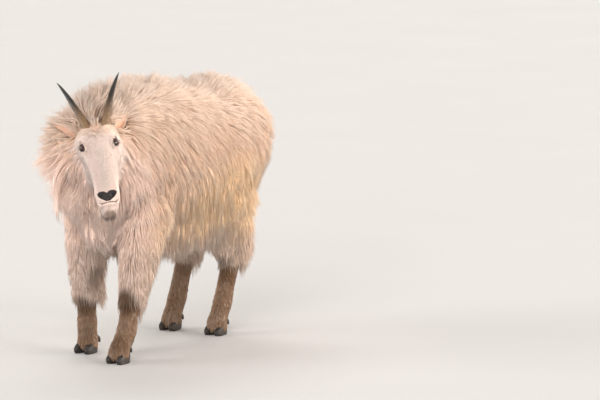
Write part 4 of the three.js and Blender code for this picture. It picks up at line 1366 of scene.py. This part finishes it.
def crosses(points, own_ear, margin):
    """Which strands run over an eye, a horn, the mouth or an ear that they don't grow on."""
    close = np.linalg.norm(points[:, 0] - np.array(HEAD_AT), axis=1) < 420
    hit = np.zeros(len(points), bool)
    if not close.any():
        return hit
    tested = halfway(points[close])
    shape = tested.shape[:2]
    tested = tested.reshape(-1, 3)
    local = to_head(tested)
    bad = (eye_distance(local) < 1.0) | (line_distance(local, mouth_line) < MOUTH_MARGIN)
    bad |= gland_share(local, [9, 16, 9]) > 0.5
    bad |= (nose_cover(local) > 1.5) & (np.abs(local[:, 1] - 5) < 25)
    run = np.linspace(0, 1, 60)
    radius = curve(HORN_RADII, run)
    for side in (1, -1):
        line = spline(np.array([mirrored(at, side) for at in HORN_LINE], float), run)
        index, distance = nearest(tree_of(line), local)
        clear = radius[index] + margin
        before = (local[:, 1] < line[index, 1]) & (local[:, 2] > HORN_FOOT)
        bad |= (distance < clear) | (before & (np.abs(local[:, 0] - line[index, 0]) < clear))
        share, distance, _ = ear_place(tested, side)
        foreign = np.repeat(own_ear[close], shape[1]) == 0
        bad |= (share > 0.12) & (share < 1.02) & (distance < EAR_MARGIN) & foreign
    hit[close] = bad.reshape(shape).any(axis=1)
    return hit


def levelled(outs):
    """Turns directions that point down towards the level, as hair under a bulge hangs in front of it."""
    rise = outs[..., 2:]
    return unit(np.concatenate([outs[..., :2], np.where(rise < 0, 0.12 * rise, rise)], axis=-1))


def coat_piece(name, at, vertex, steps, width, tip_height, long, look, clumps, wave=0.0, spike=0.0):
    """A piece of coat: strands drawn into locks, lifted or sunk by lock, waved and kept off the face."""
    points, outs = strands(at, vertex, long, tip_height, steps, np.minimum(4.0, 0.3 * tip_height))
    for order, (share, strength, free_share) in enumerate(clumps):
        points, leader = clump(points, share, strength, free_share, SEED + order)
    lock = np.random.default_rng(SEED + 5).uniform(size=len(at))[leader]
    run = np.linspace(0, 1, steps + 1)
    risen = run ** 2 * (spike * (lock - 0.45) * tip_height)[:, None]
    points = points + outs * risen[:, :, None]
    hanging = smoothstep(0.0, 0.35, -outs[:, :, 2:])
    outs = levelled(outs * (1 - hanging) + outs[:, :1] * hanging)
    outs = unit(outs + ruff[vertex][:, None, None] * np.array([0, -0.9, 0.1]))
    if wave:
        phase = lock * 2 * np.pi
        across = unit(np.cross(np.gradient(points, axis=1), outs))
        shake = wave * np.sin(run[None, :] * 7 + phase[:, None] * 3) * run[None, :]
        points = points + across * shake[:, :, None]
    kept = ~crosses(points, ear_side[vertex], HORN_MARGIN[steps])
    points, outs, width, lock, at, vertex = (item[kept] for item in (points, outs, width, lock, at, vertex))
    # The beard share is painted shade under the jaw
    face, bridge, beard = face_values(at, on_head[vertex].astype(float))
    values = {
        "tuft": random.uniform(size=len(at)), "lock": lock, "face": face, "bridge": bridge, "beard": beard,
        "shank": shank_values(at, vertex),
    }
    fitted(tuft_mesh(name, points, outs, width, unwrap_place(vertex, at), values), look, "coat")


# Clumps: share of strands that lead, how strongly and how many strands stay free
LONG_STEPS = 3
SHORT_STEPS = 2
HORN_MARGIN = {LONG_STEPS: 3.0, SHORT_STEPS: 0.2}
LONG_CLUMPS = [(0.010, 0.3, 0.12), (0.07, 0.5, 0.15)]
LEG_CLUMPS = [(0.08, 0.28, 0.3)]
SHORT_CLUMPS = [(0.12, 0.25, 0.2)]
SPIKE = 0.26
LEG_SPIKE = 0.08
STRAY_SHARE = 0.10
WAVE = 1.4

# Tufts for a square metre, by region
DENSITY = {"trunk": 59000, "neck": 100000, "head": 90000, "jaw": 90000, "tail": 60000}
LEG_DENSITY = 52000
SHORT_DENSITY = {"head": 260000, "jaw": 200000}
SHORT_LEG_DENSITY = 76000
EAR_DENSITY = 170000
FRONT_REAR_BORDER = 60


def region_of(at, vertex):
    """Name of the coat piece that each root belongs to."""
    names = np.array([form_names[order] for order in home[vertex]], dtype=object)
    x, _, z = skin_normals[vertex].T
    beside = np.where(x > 0, "left", "right")
    face = np.where(z > 0.62, "back", np.where(z < -0.45, "belly", beside))
    end = np.where(at[:, 1] < FRONT_REAR_BORDER, "front", "rear")
    on_trunk, on_neck = names == "trunk", names == "neck"
    names[on_trunk] = [f"torso_{a}_{b}" for a, b in zip(face[on_trunk], end[on_trunk])]
    names[on_neck] = [f"neck_{a}" for a in beside[on_neck]]
    names[names == "jaw"] = "head"
    names[ear_side[vertex] > 0] = "ear_left"
    names[ear_side[vertex] < 0] = "ear_right"
    return names


def density_of(regions, on_legs):
    density = np.zeros(len(skin_points))
    for name in form_names:
        density[home_is(name)] = regions.get(name, on_legs)
    return density


def grown(density, wanted):
    """Plants roots where they are wanted, and gives those of one region after another."""
    density[~wanted] = 0
    at, vertex = roots(density)
    labels = region_of(at, vertex)
    for label in sorted(set(labels)):
        mine = labels == label
        yield label, at[mine], vertex[mine], int(mine.sum())


def long_coat():
    density = density_of(DENSITY, LEG_DENSITY)
    density *= 1 + 0.4 * home_is("trunk") * smoothstep(0.75, 0.9, places["trunk"][0])
    for label, at, vertex, count in grown(density, long_hair):
        full = depth[vertex]
        rise = 0.1 * waves(at, 60, 8)
        tip = full * np.clip(random.triangular(0.6, 0.98, 1.06, count) + rise, 0.3, 1.14)
        long = length[vertex] * random.uniform(0.78, 1.15, count)
        width = random.uniform(1.7, 3.2, count) * smoothstep(10, 90, long) + 0.8
        stray = random.uniform(size=count) < STRAY_SHARE
        tip[stray] = full[stray] * random.uniform(1.05, 1.28, stray.sum())
        width[stray] *= 0.6
        clumps, spike = (LEG_CLUMPS, LEG_SPIKE) if label in LEGS else (LONG_CLUMPS, SPIKE)
        name = f"coat_{label}_long"
        coat_piece(name, at, vertex, LONG_STEPS, width, tip, long, long_look, clumps, WAVE, spike)


def short_coat():
    density = density_of(SHORT_DENSITY, SHORT_LEG_DENSITY)
    density *= 1 + 1.5 * on_head * np.exp(-((head_local[:, 2] - WHORL_HEIGHT) / 12) ** 2)
    on_ear = ear_side != 0
    density[on_ear] = EAR_DENSITY * (1 - smoothstep(0.1, 0.5, ear_inside[on_ear]))
    for label, at, vertex, count in grown(density, short):
        tip = depth[vertex] * random.uniform(0.55, 1.0, count)
        long = length[vertex] * random.uniform(0.75, 1.15, count)
        width = random.uniform(0.75, 1.15, count) * (0.9 + 0.07 * long)
        coat_piece(
            f"coat_{label}_short", at, vertex, SHORT_STEPS, width, tip, long, short_look, SHORT_CLUMPS)


# Long separate strands on the right side of the neck: place along and around it, length and reach of each
STRANDS = np.array([
    [0.14, 188, 190, 106], [0.23, 200, 228, 106], [0.32, 204, 240, 102],
    [0.42, 205, 248, 95], [0.54, 200, 230, 84],
])
STRAND_DRIFT = 55
STRAND_TUFTS = 13
STRAND_STEPS = 6


def hanging_strands():
    t, angle, long, reach = np.repeat(STRANDS, STRAND_TUFTS, axis=0).T
    count = len(t)
    t = t + random.normal(0, 0.014, count)
    angle = np.radians(angle + random.normal(0, 3.5, count))
    long = long * random.uniform(0.55, 1.04, count)
    reach = reach * random.uniform(0.8, 1.05, count)
    root = neck.point(t, angle)
    vertex, _ = nearest(skin_tree, root)
    out = skin_normals[vertex]
    flat = unit(out * [1, 1, 0.2])
    run = np.linspace(0, 1, STRAND_STEPS + 1)[None, :, None]
    away = (reach[:, None, None] + 8) * (1 - (1 - run) ** 2) - 8 * (1 - run)
    points = root[:, None] + flat[:, None] * away + DOWN * long[:, None, None] * run ** 1.35
    points[:, :, 1] += STRAND_DRIFT * run[:, :, 0] ** 2
    group = np.repeat(np.arange(len(STRANDS)), STRAND_TUFTS)
    middle = np.array([points[group == g].mean(axis=0) for g in range(len(STRANDS))])[group]
    points = points + (middle - points) * 0.85 * run
    sway = 5 * np.sin(run * 6 + group[:, None, None] * 1.7) * run
    points = points + sway * np.array([0.3, 1, 0])
    outs = np.tile(out[:, None], (1, STRAND_STEPS + 1, 1))
    lock = np.random.default_rng(5).uniform(size=len(STRANDS))[group]
    values = {"tuft": random.uniform(size=count), "lock": lock}
    width = random.uniform(1.6, 2.7, count)
    piece = tuft_mesh("coat_neck_strands", points, outs, width, unwrap_place(vertex, root), values)
    fitted(piece, long_look, "coat")


# Eyes, horns, hooves
def eyeball(name, side):
    rings, sides = 36, 48
    rho, theta = np.meshgrid(np.linspace(0, np.pi, rings + 1)[1:-1], evenly(sides), indexing="ij")
    rho = np.append(rho, [0, np.pi])
    theta = np.append(theta, [0, 0])
    gaze = np.column_stack([np.sin(rho) * np.cos(theta), np.sin(rho) * np.sin(theta), np.cos(rho)])
    axis, long, across = eye_frame(side)
    radius = EYE_RADIUS - 0.1 + 0.9 * np.exp(-(rho / math.radians(26)) ** 2)
    points = mirrored(EYE_AT, side) + radius[:, None] * (gaze @ np.array([long, across, axis]))
    ball = new_object(f"{name}_globe", from_head(points), tube_faces(rings - 2, sides))
    store(ball, "gaze", gaze)
    fitted(ball, eye_look, "eye", name)


def horn(name, side):
    """A smooth, back-curved cone with low growth rings that fade towards the tip."""
    line = [[*mirrored(at, side), radius, radius, radius] for at, radius in zip(HORN_LINE, HORN_RADII)]
    form = Form(line, (0, 1, 0))
    rings, sides = 150, 40
    points, t, angle = form.grid(rings, sides)
    centre = np.repeat(spline(form.line, np.linspace(0, 1, rings + 1)), sides, axis=0)
    fade = 1 - smoothstep(0.35, 0.75, t)
    ridge = 0.5 * np.sin(t * 95 + 0.9 * np.sin(t * 31)) + 0.35 * np.sin(t * 210)
    points = points + unit(points - centre) * (ridge * fade * 0.9 - 0.4)[:, None]
    caps = spline(form.line, np.array([0.0, 1.0]))
    piece = new_object(f"{name}_sheath", from_head(np.vstack([points, caps])), tube_faces(rings, sides))
    along, around = np.append(t, [0, 1]), np.append(angle, [0, 0])
    store(piece, "along", along)
    store(piece, "streak", np.column_stack([np.cos(around), np.sin(around), along]))
    fitted(piece, horn_look, "horn", name)


# Rows of a toe, rear to front, and of a dewclaw from its place, top to tip, mirrored for the other side
TOE_ROWS = [
    [0, 39, 8, 4, 5, 30], [0, 32, 11, 9.5, 11, 30], [0, 18, 14, 13.5, 19, 30],
    [0, 0, 16, 14.5, 24, 30], [0, -18, 16, 13.5, 24, 30], [0, -26, 14, 9, 20, 30],
]
TOE_SQUARENESS = 2.6
DEWCLAW_ROWS = [(0, -12, 50, 8), (0, 2, 46, 9), (2, 10, 38, 7), (3, 14, 29, 2.5)]


def toe_points(leg, side):
    points, faces = Form(TOE_ROWS, UP, TOE_SQUARENESS).shell(34, 40)
    points = points * [-1, -1, 1]
    points[:, 0] += side * (TOE_WIDTH + TOE_PARTING) * 0.5
    points = points @ turned("Z", side * TOE_SPLAY).T
    points += [leg["x"], leg["y"] - 6, 0]
    points[:, 2] = np.clip(points[:, 2], 0, CORONET + 6)
    return points, faces


def dewclaw_points(leg, side):
    x, y, _ = leg_row(leg, *leg["rows"][1][:2])
    x, y = x + side * DEWCLAW_ASIDE, y + DEWCLAW_BEHIND
    rows = [[x + side * out, y + back, height, r, r, r] for out, back, height, r in DEWCLAW_ROWS]
    return Form(rows, (0, -1, 0)).shell(20, 20)


def hooves():
    for name, leg in LEGS.items():
        for side in (-1, 1):
            label = "outer" if side * leg["x"] > 0 else "inner"
            for kind, made in (("toe", toe_points(leg, side)), ("dewclaw", dewclaw_points(leg, side))):
                node = f"{name}_{kind}_{label}"
                fitted(new_object(f"{node}_horn", *made), hoof_look, "hoof", node)


# Camera: the picture's centre lies on its axis, so the animal stands to the left of it. The anchor is the
# point of the drawing frame that is seen at the anchor's pixel
CAMERA_AZIMUTH = math.radians(32)
CAMERA_ELEVATION = math.radians(8.5)
CAMERA_DISTANCE = 11000
SIZE_OF_PIXEL = 3.25
ANCHOR = np.array([0.0, -300.0, 0.0])
ANCHOR_PIXEL = (105, 357)
PICTURE = (600, 400)
SENSOR = 36


def camera():
    right = np.array([math.cos(CAMERA_AZIMUTH), math.sin(CAMERA_AZIMUTH), 0])
    level = np.array([math.sin(CAMERA_AZIMUTH), -math.cos(CAMERA_AZIMUTH), 0])
    back = level * math.cos(CAMERA_ELEVATION) + UP * math.sin(CAMERA_ELEVATION)
    up = np.cross(back, right)
    aside = (ANCHOR_PIXEL[0] - PICTURE[0] / 2) * SIZE_OF_PIXEL
    above = (PICTURE[1] / 2 - ANCHOR_PIXEL[1]) * SIZE_OF_PIXEL
    at = ANCHOR + back * CAMERA_DISTANCE - right * aside - up * above
    data = bpy.data.cameras.new("Camera")
    data.lens = CAMERA_DISTANCE / SIZE_OF_PIXEL / PICTURE[0] * SENSOR
    data.sensor_width = SENSOR
    data.clip_end = 100
    thing = placed("Camera", data)
    turn = Matrix((right, up, back)).transposed().to_4x4()
    thing.matrix_world = Matrix.Translation(Vector(to_row(at))) @ turn
    bpy.context.scene.camera = thing


# Lights from far off: name, side that they come from, strength, softness in degrees, colour
SUNS = [
    ("Key", (1.0, -4.4, 3.6), 0.75, 40, (1.0, 0.95, 0.90)),
    ("Front", (1.8, -4.6, 0.7), 1.3, 36, (1.0, 0.94, 0.89)),
    ("Left", (-3.8, -3.0, 0.8), 2.2, 36, (1.0, 0.95, 0.92)),
    ("Fill", (4.2, 0.2, 0.7), 2.2, 30, (1.0, 0.91, 0.82)),
    ("Glow", (3.6, 2.6, 0.5), 2.2, 30, (1.0, 0.88, 0.76)),
    ("Rim", (-2.6, 2.4, 4.4), 0.8, 30, (1.0, 0.96, 0.92)),
    ("Rear", (-0.6, 4.4, 1.1), 0.9, 40, (1.0, 0.94, 0.88)),
]
FLOOR_HALF = 20000.0


def studio():
    world = bpy.data.worlds.new("Studio")
    world.use_nodes = True
    backdrop = world.node_tree.nodes["Background"]
    backdrop.inputs["Color"].default_value = (*linear((0.93, 0.92, 0.91)), 1)
    backdrop.inputs["Strength"].default_value = 0.42
    bpy.context.scene.world = world
    for name, towards, strength, softness, colour in SUNS:
        data = bpy.data.lights.new(name, "SUN")
        data.energy = strength
        data.angle = math.radians(softness)
        data.color = colour
        light = placed(name, data)
        light.location = towards
        light.rotation_mode = "QUATERNION"
        light.rotation_quaternion = Vector(towards).to_track_quat("Z", "Y")
    corners = np.array([[-1, -1, 0], [1, -1, 0], [1, 1, 0], [-1, 1, 0]]) * FLOOR_HALF
    floor = new_object("floor", corners, [(0, 1, 2, 3)])
    floor.data.materials.append(floor_material())
    bpy.context.scene.view_settings.view_transform = "Standard"


finish_skin()
long_coat()
short_coat()
hanging_strands()
for side_name, side in (("left", 1), ("right", -1)):
    eyeball(f"eye_{side_name}", side)
    horn(f"horn_{side_name}", side)
hooves()
camera()
studio()
